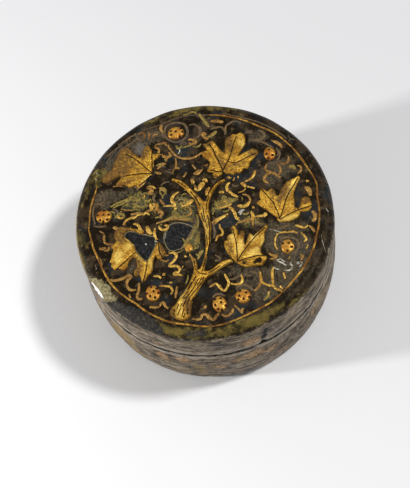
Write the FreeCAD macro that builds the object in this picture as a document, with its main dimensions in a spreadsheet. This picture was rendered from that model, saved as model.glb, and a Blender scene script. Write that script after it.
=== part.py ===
"""Round lacquered ink box, 91 mm across: a lift-off lid on a hooped base, with an inkstone set inside.

The base and the lid are hoops closed by turned panels. A thin inner rim stands out of the base and guides
the lid. Gold relief (a vine of five leaves, a trunk, berries and a border line) lies on the lid. Inside, a
pierced board locates an inkstone, a water dropper and an ink stick.

Frame: +Z up, the origin at the centre of the base's foot, millimetres. +Y points away from the vine's root.
"""
import FreeCAD, Part
import math
import os
import Sketcher
from FreeCAD import Placement, Rotation, Vector

OUTPUT = "parts"
DOCUMENT = FreeCAD.newDocument("InkBox")

# ---------------------------------------------------------------- driving dimensions, in millimetres
DIMENSIONS = [
    # the box as a whole
    ("outer_radius", 45.5, "lid, and base at its mouth"),
    ("belly_radius", 46.4, "the base's wall swells a little"),
    ("belly_height", 14.0, ""),
    ("base_radius", 44.0, "where the wall would meet the ground"),
    ("total_height", 46.9, "foot to the lid's top face"),
    ("seam_height", 28.9, "top of the base's hoop"),
    ("seam_gap", 0.25, "shadow line between the lid and the base"),
    ("shoulder_radius", 3.5, "rounded edge of the lid's top"),
    ("mouth_round", 0.5, "worn edges at the seam"),
    ("belly_round", 75.0, "the swell is a slow curve"),
    ("foot_round", 3.4, "outer edge of the foot"),
    # base
    ("base_bore", 41.85, "inside of the base's hoop, where the rim is glued"),
    ("foot_bore", 39.8, "inside of the foot: the floor panel lies on its ledge"),
    ("foot_depth", 1.2, "the hoop stands this far below the floor panel"),
    ("floor_thickness", 3.4, "floor panel"),
    ("rim_bore", 40.0, "inside of the inner rim"),
    ("rim_stand", 6.0, "the inner rim stands this far above the seam"),
    # lid
    ("lid_bore", 42.1, "inside of the lid's hoop: 0.25 clear of the rim"),
    ("panel_edge", 5.4, "lid panel at its edge"),
    ("panel_centre", 4.0, "lid panel at its middle"),
    ("plug_depth", 1.2, "the panel's plug inside the lid's hoop"),
    ("plug_bore", 38.9, "inside of the plug"),
    # board that holds the ink set
    ("board_radius", 39.5, ""),
    ("board_thickness", 7.0, ""),
    ("board_lift", 0.1, "clearance under everything that lies on the floor"),
    ("pocket_clearance", 0.4, "all round each thing in the board"),
    # inkstone
    ("stone_length", 54.0, ""),
    ("stone_width", 32.0, ""),
    ("stone_height", 12.0, ""),
    ("stone_shift", -9.0, "its centre, along Y"),
    ("stone_rim", 3.5, "width of the wall around the well"),
    ("land_depth", 2.0, "the flat where ink is ground"),
    ("sea_depth", 7.2, "the deep end that holds the ink"),
    ("sea_length", 9.5, ""),
    ("slope_length", 8.0, ""),
    ("stone_corner", 2.5, ""),
    ("stone_edge", 0.8, ""),
    # water dropper
    ("dropper_side", 16.0, ""),
    ("dropper_height", 13.0, ""),
    ("dropper_wall", 1.0, ""),
    ("dropper_corner", 3.0, ""),
    ("dropper_edge", 0.7, ""),
    ("dropper_across", -16.0, "its centre, along X"),
    ("dropper_along", 19.0, "its centre, along Y"),
    ("spout_radius", 1.2, "pouring hole"),
    ("air_radius", 0.7, "air hole"),
    ("spout_offset", 4.2, "from the middle to the spout, along X and Y"),
    # ink stick
    ("stick_length", 32.0, ""),
    ("stick_width", 9.0, ""),
    ("stick_height", 8.0, ""),
    ("stick_edge", 1.2, ""),
    ("stick_across", 12.0, "its centre, along X"),
    ("stick_along", 17.0, "its centre, along Y"),
    # gold relief on the lid
    ("leaf_relief", 0.6, "height of a leaf above the lid"),
    ("trunk_relief", 0.8, ""),
    ("border_relief", 0.35, ""),
    ("border_radius", 40.2, "middle of the border line"),
    ("border_width", 0.9, ""),
    ("border_across", 0.2, "the hand-drawn border sits off centre"),
    ("border_along", -0.1, ""),
    ("berry_relief", 1.1, ""),
]

sheet = DOCUMENT.addObject("Spreadsheet::Sheet", "Dims")
for row, (alias, number, note) in enumerate(DIMENSIONS, start=1):
    sheet.set(f"A{row}", alias)
    sheet.set(f"B{row}", str(number))
    sheet.setAlias(f"B{row}", alias)
    sheet.set(f"C{row}", note)
DOCUMENT.recompute()


class Size:
    """A length that knows both its value and its expression in the sheet's cells."""

    def __init__(self, value, text):
        self.value = value
        self.text = text

    @staticmethod
    def of(thing):
        return thing if isinstance(thing, Size) else Size(float(thing), f"{thing:g}")

    def join(self, sign, other, value):
        return Size(value, f"({self.text} {sign} {Size.of(other).text})")

    def __add__(self, other):
        return self.join("+", other, self.value + Size.of(other).value)

    def __sub__(self, other):
        return self.join("-", other, self.value - Size.of(other).value)

    def __mul__(self, other):
        return self.join("*", other, self.value * Size.of(other).value)

    def __truediv__(self, other):
        return self.join("/", other, self.value / Size.of(other).value)

    def __neg__(self):
        return Size(0.0, "0") - self


def dim(alias):
    """The cell of that alias, as a Size."""
    return Size(float(sheet.get(alias)), f"Dims.{alias}")


def bind(thing, name, size):
    """Sets a property to a size and keeps it bound to the sheet."""
    size = Size.of(size)
    setattr(thing, name, size.value)
    thing.setExpression(name, size.text)


def place(thing, across=0.0, along=0.0, up=0.0):
    """Moves a piece, with each coordinate bound to the sheet."""
    x, y, z = Size.of(across), Size.of(along), Size.of(up)
    thing.Placement = Placement(Vector(x.value, y.value, z.value), Rotation())
    for letter, size in zip("xyz", (x, y, z)):
        thing.setExpression(f"Placement.Base.{letter}", size.text)


# ---------------------------------------------------------------- PartDesign helpers
def new_body(label):
    body = DOCUMENT.addObject("PartDesign::Body", label)
    body.Label = label
    return body


def new_sketch(body, name, role):
    """A sketch on one of the body's own origin planes."""
    sketch = body.newObject("Sketcher::SketchObject", name)
    plane = next(f for f in body.Origin.OriginFeatures if f.Role == role)
    sketch.AttachmentSupport = [(plane, "")]
    sketch.MapMode = "FlatFace"
    return sketch


def fix_point(sketch, geometry, end, x, y):
    """Holds an end of a line at (x, y), with both distances bound to the sheet."""
    origin, horizontal, vertical = -1, -1, -2
    for size, kind, axis in ((x, "DistanceX", vertical), (y, "DistanceY", horizontal)):
        if abs(size.value) < 1e-9:
            sketch.addConstraint(Sketcher.Constraint("PointOnObject", geometry, end, axis))
            continue
        held = sketch.addConstraint(
            Sketcher.Constraint(kind, origin, 1, geometry, end, size.value)
        )
        sketch.setExpression(f"Constraints[{held}]", size.text)


def add_outline(sketch, corners):
    """A closed outline of straight lines through the corners, each corner held by the sheet."""
    corners = [(Size.of(x), Size.of(y)) for x, y in corners]
    points = [Vector(x.value, y.value, 0) for x, y in corners]
    lines = [
        sketch.addGeometry(Part.LineSegment(a, b), False)
        for a, b in zip(points, points[1:] + points[:1])
    ]
    for line, following in zip(lines, lines[1:] + lines[:1]):
        sketch.addConstraint(Sketcher.Constraint("Coincident", line, 2, following, 1))
    for line, (x, y) in zip(lines, corners):
        fix_point(sketch, line, 1, x, y)


def add_rectangle(sketch, x, y, length, width):
    """A rectangle about the centre (x, y)."""
    x, y, half_l, half_w = Size.of(x), Size.of(y), length / 2, width / 2
    add_outline(
        sketch,
        [
            (x - half_l, y - half_w),
            (x + half_l, y - half_w),
            (x + half_l, y + half_w),
            (x - half_l, y + half_w),
        ],
    )


def add_circle(sketch, radius, x=0.0, y=0.0):
    x, y = Size.of(x), Size.of(y)
    circle = sketch.addGeometry(
        Part.Circle(Vector(x.value, y.value, 0), Vector(0, 0, 1), radius.value), False
    )
    held = sketch.addConstraint(Sketcher.Constraint("Radius", circle, radius.value))
    sketch.setExpression(f"Constraints[{held}]", radius.text)
    fix_point(sketch, circle, 3, x, y)


def turn(body, corners):
    """Revolves a profile, given as (radius, height) corners, about the body's Z axis."""
    sketch = new_sketch(body, "Profile", "XZ_Plane")
    add_outline(sketch, corners)
    feature = body.newObject("PartDesign::Revolution", "Turned")
    feature.Profile = sketch
    feature.ReferenceAxis = (sketch, ["V_Axis"])
    feature.Angle = 360
    sketch.Visibility = False
    DOCUMENT.recompute()
    return feature


def pad(body, sketch, height):
    feature = body.newObject("PartDesign::Pad", "Pad")
    feature.Profile = sketch
    bind(feature, "Length", height)
    sketch.Visibility = False
    DOCUMENT.recompute()
    return feature


def pocket(body, sketch, depth, symmetric=False, upwards=False):
    """Cuts a sketch's outline out of the body, and stops if nothing was cut."""
    before = body.Shape.Volume
    feature = body.newObject("PartDesign::Pocket", "Pocket")
    feature.Profile = sketch
    bind(feature, "Length", depth)
    feature.Reversed = upwards
    if symmetric:
        feature.SideType = "Symmetric"
    sketch.Visibility = False
    DOCUMENT.recompute()
    if before - body.Shape.Volume < 0.5:
        raise RuntimeError(f"{body.Label}: {sketch.Name} cut nothing")
    return feature


def soften(body, base, chosen, radius, kind="PartDesign::Fillet"):
    """Rounds, or with another kind bevels, the edges of a feature for which chosen(edge) is true."""
    names = [f"Edge{i}" for i, e in enumerate(base.Shape.Edges, start=1) if chosen(e)]
    if not names:
        raise RuntimeError(f"{body.Label}: no edge to soften")
    feature = body.newObject(kind, "Soft")
    feature.Base = (base, names)
    bind(feature, "Radius" if kind.endswith("Fillet") else "Size", radius)
    DOCUMENT.recompute()
    return feature


def hoop_at(radius, height):
    """Chooses the round edges of that radius at that height."""

    def chosen(edge):
        curve = edge.Curve
        return (
            isinstance(curve, Part.Circle)
            and abs(curve.Radius - radius.value) < 0.01
            and abs(curve.Center.z - Size.of(height).value) < 0.01
        )

    return chosen


def upright(edge):
    """Chooses straight vertical edges."""
    a, b = edge.Vertexes[0].Point, edge.Vertexes[-1].Point
    return isinstance(edge.Curve, Part.Line) and abs(a.x - b.x) + abs(a.y - b.y) < 1e-6


def level_at(height):
    """Chooses every edge that lies at that height."""

    def chosen(edge):
        box = edge.BoundBox
        return abs(box.ZMin - height.value) < 1e-4 and abs(box.ZMax - height.value) < 1e-4

    return chosen


# ---------------------------------------------------------------- base
outer_radius = dim("outer_radius")
base_bore = dim("base_bore")
seam_height = dim("seam_height")
mouth_round = dim("mouth_round")
foot_depth = dim("foot_depth")
floor_top = foot_depth + dim("floor_thickness")


def make_base_hoop():
    """The base's wall: a hoop that swells a little and turns in to a narrow foot, with a ledge inside."""
    body = new_body("base_hoop")
    foot_bore = dim("foot_bore")
    base_radius = dim("base_radius")
    belly_radius = dim("belly_radius")
    belly_height = dim("belly_height")
    corners = [
        (foot_bore, 0),
        (base_radius, 0),
        (belly_radius, belly_height),
        (outer_radius, seam_height),
        (base_bore, seam_height),
        (base_bore, foot_depth),
        (foot_bore, foot_depth),
    ]
    turned = turn(body, corners)
    mouth = soften(body, turned, hoop_at(outer_radius, seam_height), mouth_round)
    belly = soften(body, mouth, hoop_at(belly_radius, belly_height), dim("belly_round"))
    soften(body, belly, hoop_at(base_radius, 0), dim("foot_round"))
    return body


def make_base_floor():
    """The floor panel, glued inside the hoop on the ledge of the foot."""
    floor = DOCUMENT.addObject("Part::Cylinder", "base_floor")
    bind(floor, "Radius", base_bore)
    bind(floor, "Height", dim("floor_thickness"))
    place(floor, up=foot_depth)
    return floor


def make_inner_rim():
    """The thin rim glued inside the base. It stands above the seam and guides the lid."""
    body = new_body("inner_rim")
    rim_bore = dim("rim_bore")
    rim_height = seam_height + dim("rim_stand") - floor_top
    corners = [(rim_bore, 0), (base_bore, 0), (base_bore, rim_height), (rim_bore, rim_height)]
    turned = turn(body, corners)
    soften(body, turned, level_at(rim_height), mouth_round)
    place(body, up=floor_top)
    return body


# ---------------------------------------------------------------- lid
lid_bore = dim("lid_bore")
total_height = dim("total_height")
panel_edge = dim("panel_edge")
plug_depth = dim("plug_depth")


def make_lid_hoop():
    """The lid's wall, from the shadow line at the seam up to the panel."""
    body = new_body("lid_hoop")
    seat = seam_height + dim("seam_gap")
    height = total_height - panel_edge - seat
    corners = [(lid_bore, 0), (outer_radius, 0), (outer_radius, height), (lid_bore, height)]
    turned = turn(body, corners)
    soften(body, turned, hoop_at(outer_radius, 0), mouth_round)
    place(body, up=seat)
    return body


def make_lid_panel():
    """The lid's top: a turned panel with a broad rounded shoulder, and a plug that enters the hoop."""
    body = new_body("lid_panel")
    plug_bore = dim("plug_bore")
    height = plug_depth + panel_edge
    ceiling = height - dim("panel_centre")
    corners = [
        (0, ceiling),
        (plug_bore, ceiling),
        (plug_bore, 0),
        (lid_bore, 0),
        (lid_bore, plug_depth),
        (outer_radius, plug_depth),
        (outer_radius, height),
        (0, height),
    ]
    turned = turn(body, corners)
    soften(body, turned, hoop_at(outer_radius, height), dim("shoulder_radius"))
    place(body, up=total_height - height)
    return body


# ---------------------------------------------------------------- ink set
board_thickness = dim("board_thickness")
stone_length = dim("stone_length")
stone_width = dim("stone_width")
dropper_side = dim("dropper_side")
stick_length = dim("stick_length")
stick_width = dim("stick_width")
set_floor = floor_top + dim("board_lift")


def make_stone_board():
    """The loose board that locates the ink set. Each thing stands in an opening cut right through it."""
    body = new_body("stone_board")
    sketch = new_sketch(body, "Outline", "XY_Plane")
    play = dim("pocket_clearance") * 2
    add_circle(sketch, dim("board_radius"))
    add_rectangle(sketch, 0, dim("stone_shift"), stone_length + play, stone_width + play)
    add_rectangle(
        sketch,
        dim("dropper_across"),
        dim("dropper_along"),
        dropper_side + play,
        dropper_side + play,
    )
    add_rectangle(
        sketch,
        dim("stick_across"),
        dim("stick_along"),
        stick_length + play,
        stick_width + play,
    )
    board = pad(body, sketch, board_thickness)
    soften(
        body,
        board,
        hoop_at(dim("board_radius"), board_thickness),
        mouth_round,
        kind="PartDesign::Chamfer",
    )
    place(body, up=set_floor)
    return body


def make_inkstone():
    """A slate block with one well: a shallow land to grind on, and a slope down to a deep sea."""
    body = new_body("inkstone")
    height = dim("stone_height")
    rim = dim("stone_rim")
    half_well = stone_length / 2 - rim
    sea_start = half_well - dim("sea_length")
    sketch = new_sketch(body, "Block", "XY_Plane")
    add_rectangle(sketch, 0, 0, stone_length, stone_width)
    block = pad(body, sketch, height)
    rounded = soften(body, block, upright, dim("stone_corner"))
    soften(body, rounded, level_at(height), dim("stone_edge"))
    well = new_sketch(body, "Well", "XZ_Plane")
    corners = [
        (-half_well, height),
        (-half_well, height - dim("land_depth")),
        (sea_start - dim("slope_length"), height - dim("land_depth")),
        (sea_start, height - dim("sea_depth")),
        (half_well, height - dim("sea_depth")),
        (half_well, height),
    ]
    add_outline(well, corners)
    pocket(body, well, stone_width - rim * 2, symmetric=True)
    place(body, along=dim("stone_shift"), up=set_floor)
    return body


def make_dropper_shell():
    """The water dropper: a small box open below, with a pouring hole and an air hole in its top."""
    body = new_body("dropper_shell")
    height = dim("dropper_height")
    wall = dim("dropper_wall")
    sketch = new_sketch(body, "Block", "XY_Plane")
    add_rectangle(sketch, 0, 0, dropper_side, dropper_side)
    block = pad(body, sketch, height)
    rounded = soften(body, block, upright, dim("dropper_corner"))
    soften(body, rounded, level_at(height), dim("dropper_edge"))
    hollow = new_sketch(body, "Hollow", "XY_Plane")
    add_rectangle(hollow, 0, 0, dropper_side - wall * 4, dropper_side - wall * 4)
    pocket(body, hollow, height - wall, upwards=True)
    holes = new_sketch(body, "Holes", "XY_Plane")
    add_circle(holes, dim("spout_radius"), dim("spout_offset"), dim("spout_offset"))
    add_circle(holes, dim("air_radius"))
    pocket(body, holes, height + wall, upwards=True)
    place(body, dim("dropper_across"), dim("dropper_along"), set_floor)
    return body


def make_dropper_base():
    """The plate soldered into the dropper's open underside."""
    wall = dim("dropper_wall")
    plate = DOCUMENT.addObject("Part::Box", "dropper_base")
    side = dropper_side - wall * 4
    bind(plate, "Length", side)
    bind(plate, "Width", side)
    bind(plate, "Height", wall)
    place(plate, dim("dropper_across") - side / 2, dim("dropper_along") - side / 2, set_floor)
    return plate


def make_ink_stick():
    """A short stick of pressed ink with softened edges."""
    body = new_body("ink_stick")
    sketch = new_sketch(body, "Block", "XY_Plane")
    add_rectangle(sketch, 0, 0, stick_length, stick_width)
    block = pad(body, sketch, dim("stick_height"))
    soften(body, block, lambda edge: True, dim("stick_edge"))
    place(body, dim("stick_across"), dim("stick_along"), set_floor)
    return body


# ---------------------------------------------------------------- gold relief on the lid
# Outlines in millimetres from the lid's centre. Each leaf starts at its stalk and runs round its lobes.
LEAVES = {
    "gold_leaf_upper_left": [
        (-14.6, 19.4), (-17.4, 17.2), (-20.7, 15.4), (-21.8, 16.5), (-23.9, 16.0), (-24.9, 17.4),
        (-28.4, 18.3), (-26.2, 20.9), (-30.4, 20.0), (-32.5, 20.6), (-30.8, 23.7), (-28.1, 25.8),
        (-26.0, 28.8), (-23.4, 31.1), (-21.9, 31.9), (-20.0, 29.3), (-18.2, 27.6), (-16.9, 29.8),
        (-15.1, 31.6), (-13.8, 30.0), (-13.2, 27.7), (-10.9, 27.0), (-13.2, 25.1), (-14.0, 22.3),
    ],
    "gold_leaf_top": [
        (9.8, 14.7), (7.8, 13.6), (5.8, 15.0), (4.4, 16.7), (5.7, 20.2), (3.6, 23.6), (5.6, 25.2),
        (4.8, 27.9), (8.2, 28.0), (9.8, 25.5), (11.6, 23.0), (12.5, 26.3), (14.1, 28.5),
        (18.6, 29.2), (19.9, 27.7), (19.3, 24.1), (16.6, 20.8), (21.6, 22.0), (23.4, 20.5),
        (20.3, 17.2), (18.7, 14.6), (15.6, 13.5), (12.8, 13.4),
    ],
    "gold_leaf_right": [
        (24.7, -7.4), (20.8, -1.8), (19.2, 0.6), (20.7, 1.5), (20.6, 4.1), (21.9, 5.5), (23.5, 4.1),
        (25.4, 5.0), (26.9, 1.9), (30.0, 5.3), (33.9, 7.0), (35.4, 7.8), (35.7, 6.6), (33.6, 3.6),
        (32.3, -0.2), (32.0, -3.9), (33.0, -4.3), (34.7, -1.2), (37.1, -1.3), (37.7, -4.0),
        (36.2, -6.1), (33.0, -6.3), (31.7, -8.0), (28.7, -8.8), (25.9, -8.4),
    ],
    "gold_leaf_centre": [
        (7.6, -20.3), (5.9, -16.3), (5.2, -12.2), (6.5, -10.4), (8.5, -8.8), (8.8, -6.4),
        (9.4, -5.8), (10.5, -7.8), (10.8, -9.9), (12.2, -8.8), (12.7, -10.1), (12.2, -13.2),
        (14.2, -10.3), (16.0, -11.1), (20.6, -8.4), (21.0, -9.1), (19.6, -11.7), (18.3, -15.1),
        (17.0, -17.3), (18.4, -20.0), (16.7, -22.8), (12.7, -22.6), (9.7, -21.8),
    ],
    "gold_leaf_lower_left": [
        (-16.8, -6.8), (-18.5, -8.5), (-22.0, -13.0), (-23.8, -11.3), (-25.4, -6.8), (-28.6, -2.7),
        (-27.6, -0.4), (-24.2, -0.8), (-24.4, 0.3), (-28.8, 1.6), (-30.8, 1.3), (-31.7, -2.8),
        (-33.2, -5.2), (-33.6, -8.2), (-34.7, -10.9), (-34.1, -13.5), (-30.7, -14.8),
        (-28.9, -13.4), (-26.4, -11.2), (-26.1, -14.7), (-27.0, -17.3), (-25.7, -18.0),
        (-24.9, -21.1), (-23.1, -19.3), (-20.6, -16.7), (-19.1, -12.4), (-16.7, -12.9),
        (-15.3, -11.3),
    ],
}

# The trunk rises from the border, and forks into a long stem with two boughs and a low branch.
TRUNK = [
    (-17.3, -33.8), (-16.5, -31.8), (-13.2, -28.6), (-9.9, -25.0), (-7.4, -20.8), (-6.6, -17.0),
    (-6.1, -15.3), (-5.5, -15.8), (-5.2, -19.1), (-4.5, -19.3), (-2.5, -15.5), (-1.2, -10.6),
    (-0.7, -5.4), (-1.4, -0.3), (-1.7, 4.4), (-3.3, 9.2), (-6.5, 13.7), (-8.6, 15.8), (-8.1, 16.6),
    (-5.3, 15.0), (-2.0, 10.4), (0.3, 6.5), (1.5, 5.4), (2.8, 7.2), (6.1, 10.9), (10.0, 12.3),
    (10.1, 11.4), (6.8, 9.9), (3.9, 6.2), (2.4, 1.9), (2.0, -4.0), (1.1, -9.5), (-0.6, -14.5),
    (-2.7, -18.9), (-3.0, -20.8), (-0.3, -20.5), (3.1, -18.7), (6.2, -18.5), (7.0, -19.7),
    (3.9, -20.6), (0.0, -22.5), (-3.8, -24.6), (-7.1, -28.4), (-9.6, -32.4), (-10.9, -35.8),
    (-16.3, -35.3),
]

# Each berry: its centre on the lid, and its radius.
BERRIES = [
    (-3.9, 34.3, 2.9),
    (27.3, 18.6, 2.4),
    (-34.3, 7.0, 2.8),
    (26.2, -18.0, 2.5),
    (-22.0, -25.3, 2.8),
    (-0.4, -33.9, 2.7),
    (7.9, -32.7, 2.7),
    (-7.1, -11.2, 1.6),
]


def make_relief(label, outline, height):
    """A flat piece of relief with a free outline, lying on the lid."""
    points = [Vector(x, y, 0) for x, y in outline]
    face = Part.Face(Part.makePolygon(points + points[:1]))
    relief = DOCUMENT.addObject("Part::Feature", label)
    relief.Shape = face.extrude(Vector(0, 0, height.value))
    place(relief, up=total_height)
    return relief


def make_border():
    """The thin gold line round the picture."""
    height = dim("border_relief")
    width = dim("border_width")
    discs = []
    for name, side in (("border_outside", width / 2), ("border_inside", -(width / 2))):
        disc = DOCUMENT.addObject("Part::Cylinder", name)
        bind(disc, "Radius", dim("border_radius") + side)
        bind(disc, "Height", height)
        discs.append(disc)
    border = DOCUMENT.addObject("Part::Cut", "gold_border")
    border.Base, border.Tool = discs
    place(border, dim("border_across"), dim("border_along"), total_height)
    return border


def make_berry(number, x, y, radius):
    """A low dome: the cap of a sphere that has the berry's radius where it meets the lid."""
    relief = dim("berry_relief")
    berry = DOCUMENT.addObject("Part::Sphere", f"gold_berry_{number}")
    sphere_radius = (Size.of(radius) * radius + relief * relief) / (relief * 2)
    bind(berry, "Radius", sphere_radius)
    berry.Angle1 = math.degrees(math.asin((sphere_radius - relief).value / sphere_radius.value))
    berry.setExpression("Angle1", f"asin({(sphere_radius - relief).text} / {sphere_radius.text})")
    berry.Angle2 = 90
    place(berry, x, y, total_height + relief - sphere_radius)
    return berry


# ---------------------------------------------------------------- build, check and write
def build():
    pieces = [
        make_base_hoop(),
        make_base_floor(),
        make_inner_rim(),
        make_lid_hoop(),
        make_lid_panel(),
        make_stone_board(),
        make_inkstone(),
        make_dropper_shell(),
        make_dropper_base(),
        make_ink_stick(),
        make_border(),
        make_relief("gold_trunk", TRUNK, dim("trunk_relief")),
    ]
    pieces += [make_relief(label, outline, dim("leaf_relief")) for label, outline in LEAVES.items()]
    pieces += [make_berry(number, *berry) for number, berry in enumerate(BERRIES, start=1)]
    return pieces


def check(pieces):
    """Stops if any object failed to compute, or any piece isn't one sound solid."""
    for thing in DOCUMENT.Objects:
        if {"Invalid", "Error"} & set(thing.State):
            raise RuntimeError(f"{thing.Label} failed: {thing.State}")
    for piece in pieces:
        shape = piece.Shape
        if shape.isNull() or not shape.isValid() or len(shape.Solids) != 1:
            raise RuntimeError(f"{piece.Label} is not one valid solid")


pieces = build()
DOCUMENT.recompute()
check(pieces)
os.makedirs(OUTPUT, exist_ok=True)
for piece in pieces:
    piece.Shape.exportStep(os.path.join(OUTPUT, f"{piece.Label}.step"))
    box = piece.Shape.BoundBox
    print(
        f"{piece.Label:22s} volume {piece.Shape.Volume:10.2f}  "
        f"z {box.ZMin:6.2f} to {box.ZMax:6.2f}"
    )
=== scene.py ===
"""Round lidded ink box in black lacquer: a gold vine in raised lacquer on its lid, an inkstone set inside.

The script follows the box as it is put together, from the hoop of the base up to the gold on the lid, and
then the ink set. Sizes are in millimetres until they are multiplied by MM. Everything is built in place.
"""
import math

import bmesh
import bpy
import numpy as np
from mathutils import Matrix, Vector, noise


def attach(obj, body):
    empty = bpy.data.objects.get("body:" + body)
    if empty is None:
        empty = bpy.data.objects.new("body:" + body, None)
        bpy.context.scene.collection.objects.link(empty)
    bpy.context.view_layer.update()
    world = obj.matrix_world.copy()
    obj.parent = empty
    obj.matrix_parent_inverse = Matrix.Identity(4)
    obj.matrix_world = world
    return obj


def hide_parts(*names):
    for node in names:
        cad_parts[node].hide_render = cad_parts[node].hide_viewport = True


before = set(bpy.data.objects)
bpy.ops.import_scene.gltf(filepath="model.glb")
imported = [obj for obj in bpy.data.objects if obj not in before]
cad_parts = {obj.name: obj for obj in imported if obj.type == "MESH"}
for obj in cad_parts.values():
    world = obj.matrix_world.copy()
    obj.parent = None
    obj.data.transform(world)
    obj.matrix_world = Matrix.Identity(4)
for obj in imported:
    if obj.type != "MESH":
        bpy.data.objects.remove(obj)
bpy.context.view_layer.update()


# ---------------------------------------------------------------- The hoop of the base
# A thin board bent round and lapped, primed and lacquered black. Its wall swells a little above the foot.
# The lacquer has worn thin in level streaks that follow the grain, and tan ground shows through it.
MM = 0.001


def set_socket(socket, value):
    """Sets a shader socket's own value. A colour is given as its three parts."""
    socket.default_value = (*value, 1) if socket.type == "RGBA" else value


class Finish:
    """A tree of shader nodes being laid out: a material's own, or a group that several share."""

    def __init__(self, tree):
        self.tree = tree

    def add(self, kind, feeds=None, **settings):
        """Adds a node, sets it up, and feeds its inputs with plain values or other nodes' outputs."""
        node = self.tree.nodes.new("ShaderNode" + kind)
        for key, value in settings.items():
            setattr(node, key, value)
        for key, value in (feeds or {}).items():
            if isinstance(value, bpy.types.NodeSocket):
                self.tree.links.new(value, node.inputs[key])
            else:
                set_socket(node.inputs[key], value)
        return node

    def place_mm(self):
        """The place on the piece, in millimetres."""
        here = self.add("TexCoord").outputs["Object"]
        return self.add("VectorMath", {0: here, "Scale": 1000.0}, operation="SCALE").outputs[0]

    def cloud(self, place, size, detail=3.0, rough=0.55):
        """Soft noise from 0 to 1, whose lumps are about that many millimetres across."""
        feeds = {"Vector": place, "Scale": 1.0 / size, "Detail": detail, "Roughness": rough}
        return self.add("TexNoise", feeds).outputs["Fac"]

    def stretch(self, place, x, y, z):
        """Squeezes a place, so that a pattern read from it runs long where the number is small."""
        return self.add("VectorMath", {0: place, 1: (x, y, z)}, operation="MULTIPLY").outputs[0]

    def step(self, value, low, high):
        """A soft step from 0 at low to 1 at high."""
        feeds = {"Value": value, "From Min": low, "From Max": high}
        return self.add("MapRange", feeds, interpolation_type="SMOOTHSTEP").outputs["Result"]

    def math(self, operation, a, b):
        """One sum on plain values or other nodes' outputs."""
        return self.add("Math", {0: a, 1: b}, operation=operation).outputs[0]

    def blend(self, amount, under, over):
        """Goes from one colour to another as the amount goes from 0 to 1."""
        feeds = {"Factor": amount, 6: under, 7: over}
        return self.add("Mix", feeds, data_type="RGBA").outputs[2]

    def lay(self, under, mask, strength, over):
        """Lays a colour over another where a mask is, no more densely than the strength."""
        return self.blend(self.math("MULTIPLY", mask, strength), under, over)

    def painted(self, name):
        """A value that was painted on the mesh under that name."""
        return self.add("Attribute", attribute_name=name).outputs["Fac"]

    def patches(self, name, grain, spread, soft, edge=0.5):
        """A painted value, its edges broken up with a grain, the more so the wider the spread."""
        value = self.painted(name)
        shift = self.math("MULTIPLY", self.math("SUBTRACT", grain, 0.5), spread)
        broken = self.step(self.math("ADD", value, shift), edge - soft, edge + soft)
        return self.math("MULTIPLY", broken, self.step(value, 0.02, 0.22))


def new_finish(name, **shader):
    """A material with its shader's plain settings. Returns the material, its tree and the shader."""
    material = bpy.data.materials.new(name)
    material.use_nodes = True
    finish = Finish(material.node_tree)
    surface = material.node_tree.nodes["Principled BSDF"]
    for key, value in shader.items():
        set_socket(surface.inputs[key.replace("_", " ").title().replace("Ior", "IOR")], value)
    return material, finish, surface


def relief(finish, surface, height, depth):
    """Makes the shader follow a height pattern that is depth millimetres high."""
    bump = finish.add("Bump", {"Height": height, "Distance": depth * MM, "Strength": 1.0})
    finish.tree.links.new(bump.outputs["Normal"], surface.inputs["Normal"])


def coat(finish, surface, colour, dull, low, high, height, depth):
    """Gives the shader a colour, a relief, and a roughness that runs from low to high with a mask."""
    finish.tree.links.new(colour, surface.inputs["Base Color"])
    gloss = finish.add("MapRange", {"Value": dull, "To Min": low, "To Max": high})
    finish.tree.links.new(gloss.outputs["Result"], surface.inputs["Roughness"])
    relief(finish, surface, height, depth)


def new_group(name, inputs, outputs):
    """A shared effect. Returns the group, its tree, the sockets of its inputs, and its exit."""
    group = bpy.data.node_groups.new(name, "ShaderNodeTree")
    for label, kind, value in inputs:
        socket = group.interface.new_socket(label, in_out="INPUT", socket_type="NodeSocket" + kind)
        socket.default_value = value
    for label, kind in outputs:
        group.interface.new_socket(label, in_out="OUTPUT", socket_type="NodeSocket" + kind)
    entry = group.nodes.new("NodeGroupInput")
    exit_node = group.nodes.new("NodeGroupOutput")
    return group, Finish(group), entry.outputs, exit_node


def use_group(finish, group, **values):
    """Places a shared effect in a finish with its own values, and returns its outputs."""
    node = finish.tree.nodes.new("ShaderNodeGroup")
    node.node_tree = group
    for key, value in values.items():
        node.inputs[key.replace("_", " ").capitalize()].default_value = value
    return node.outputs


# Level streaks: the grain of a bent board, which runs round the box and shows through thin lacquer.
level_streaks, inner, given, leave = new_group(
    "level streaks",
    [("Height", "Float", 1.0), ("Low", "Float", 0.45), ("High", "Float", 0.65)],
    [("Mask", "Float")],
)
along = inner.stretch(inner.place_mm(), 0.06, 0.06, 1.0)
feeds = {"Vector": along, "Scale": given["Height"], "Detail": 5.0, "Roughness": 0.6}
streak = inner.step(inner.add("TexNoise", feeds).outputs["Fac"], given["Low"], given["High"])
inner.tree.links.new(streak, leave.inputs[0])

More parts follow.
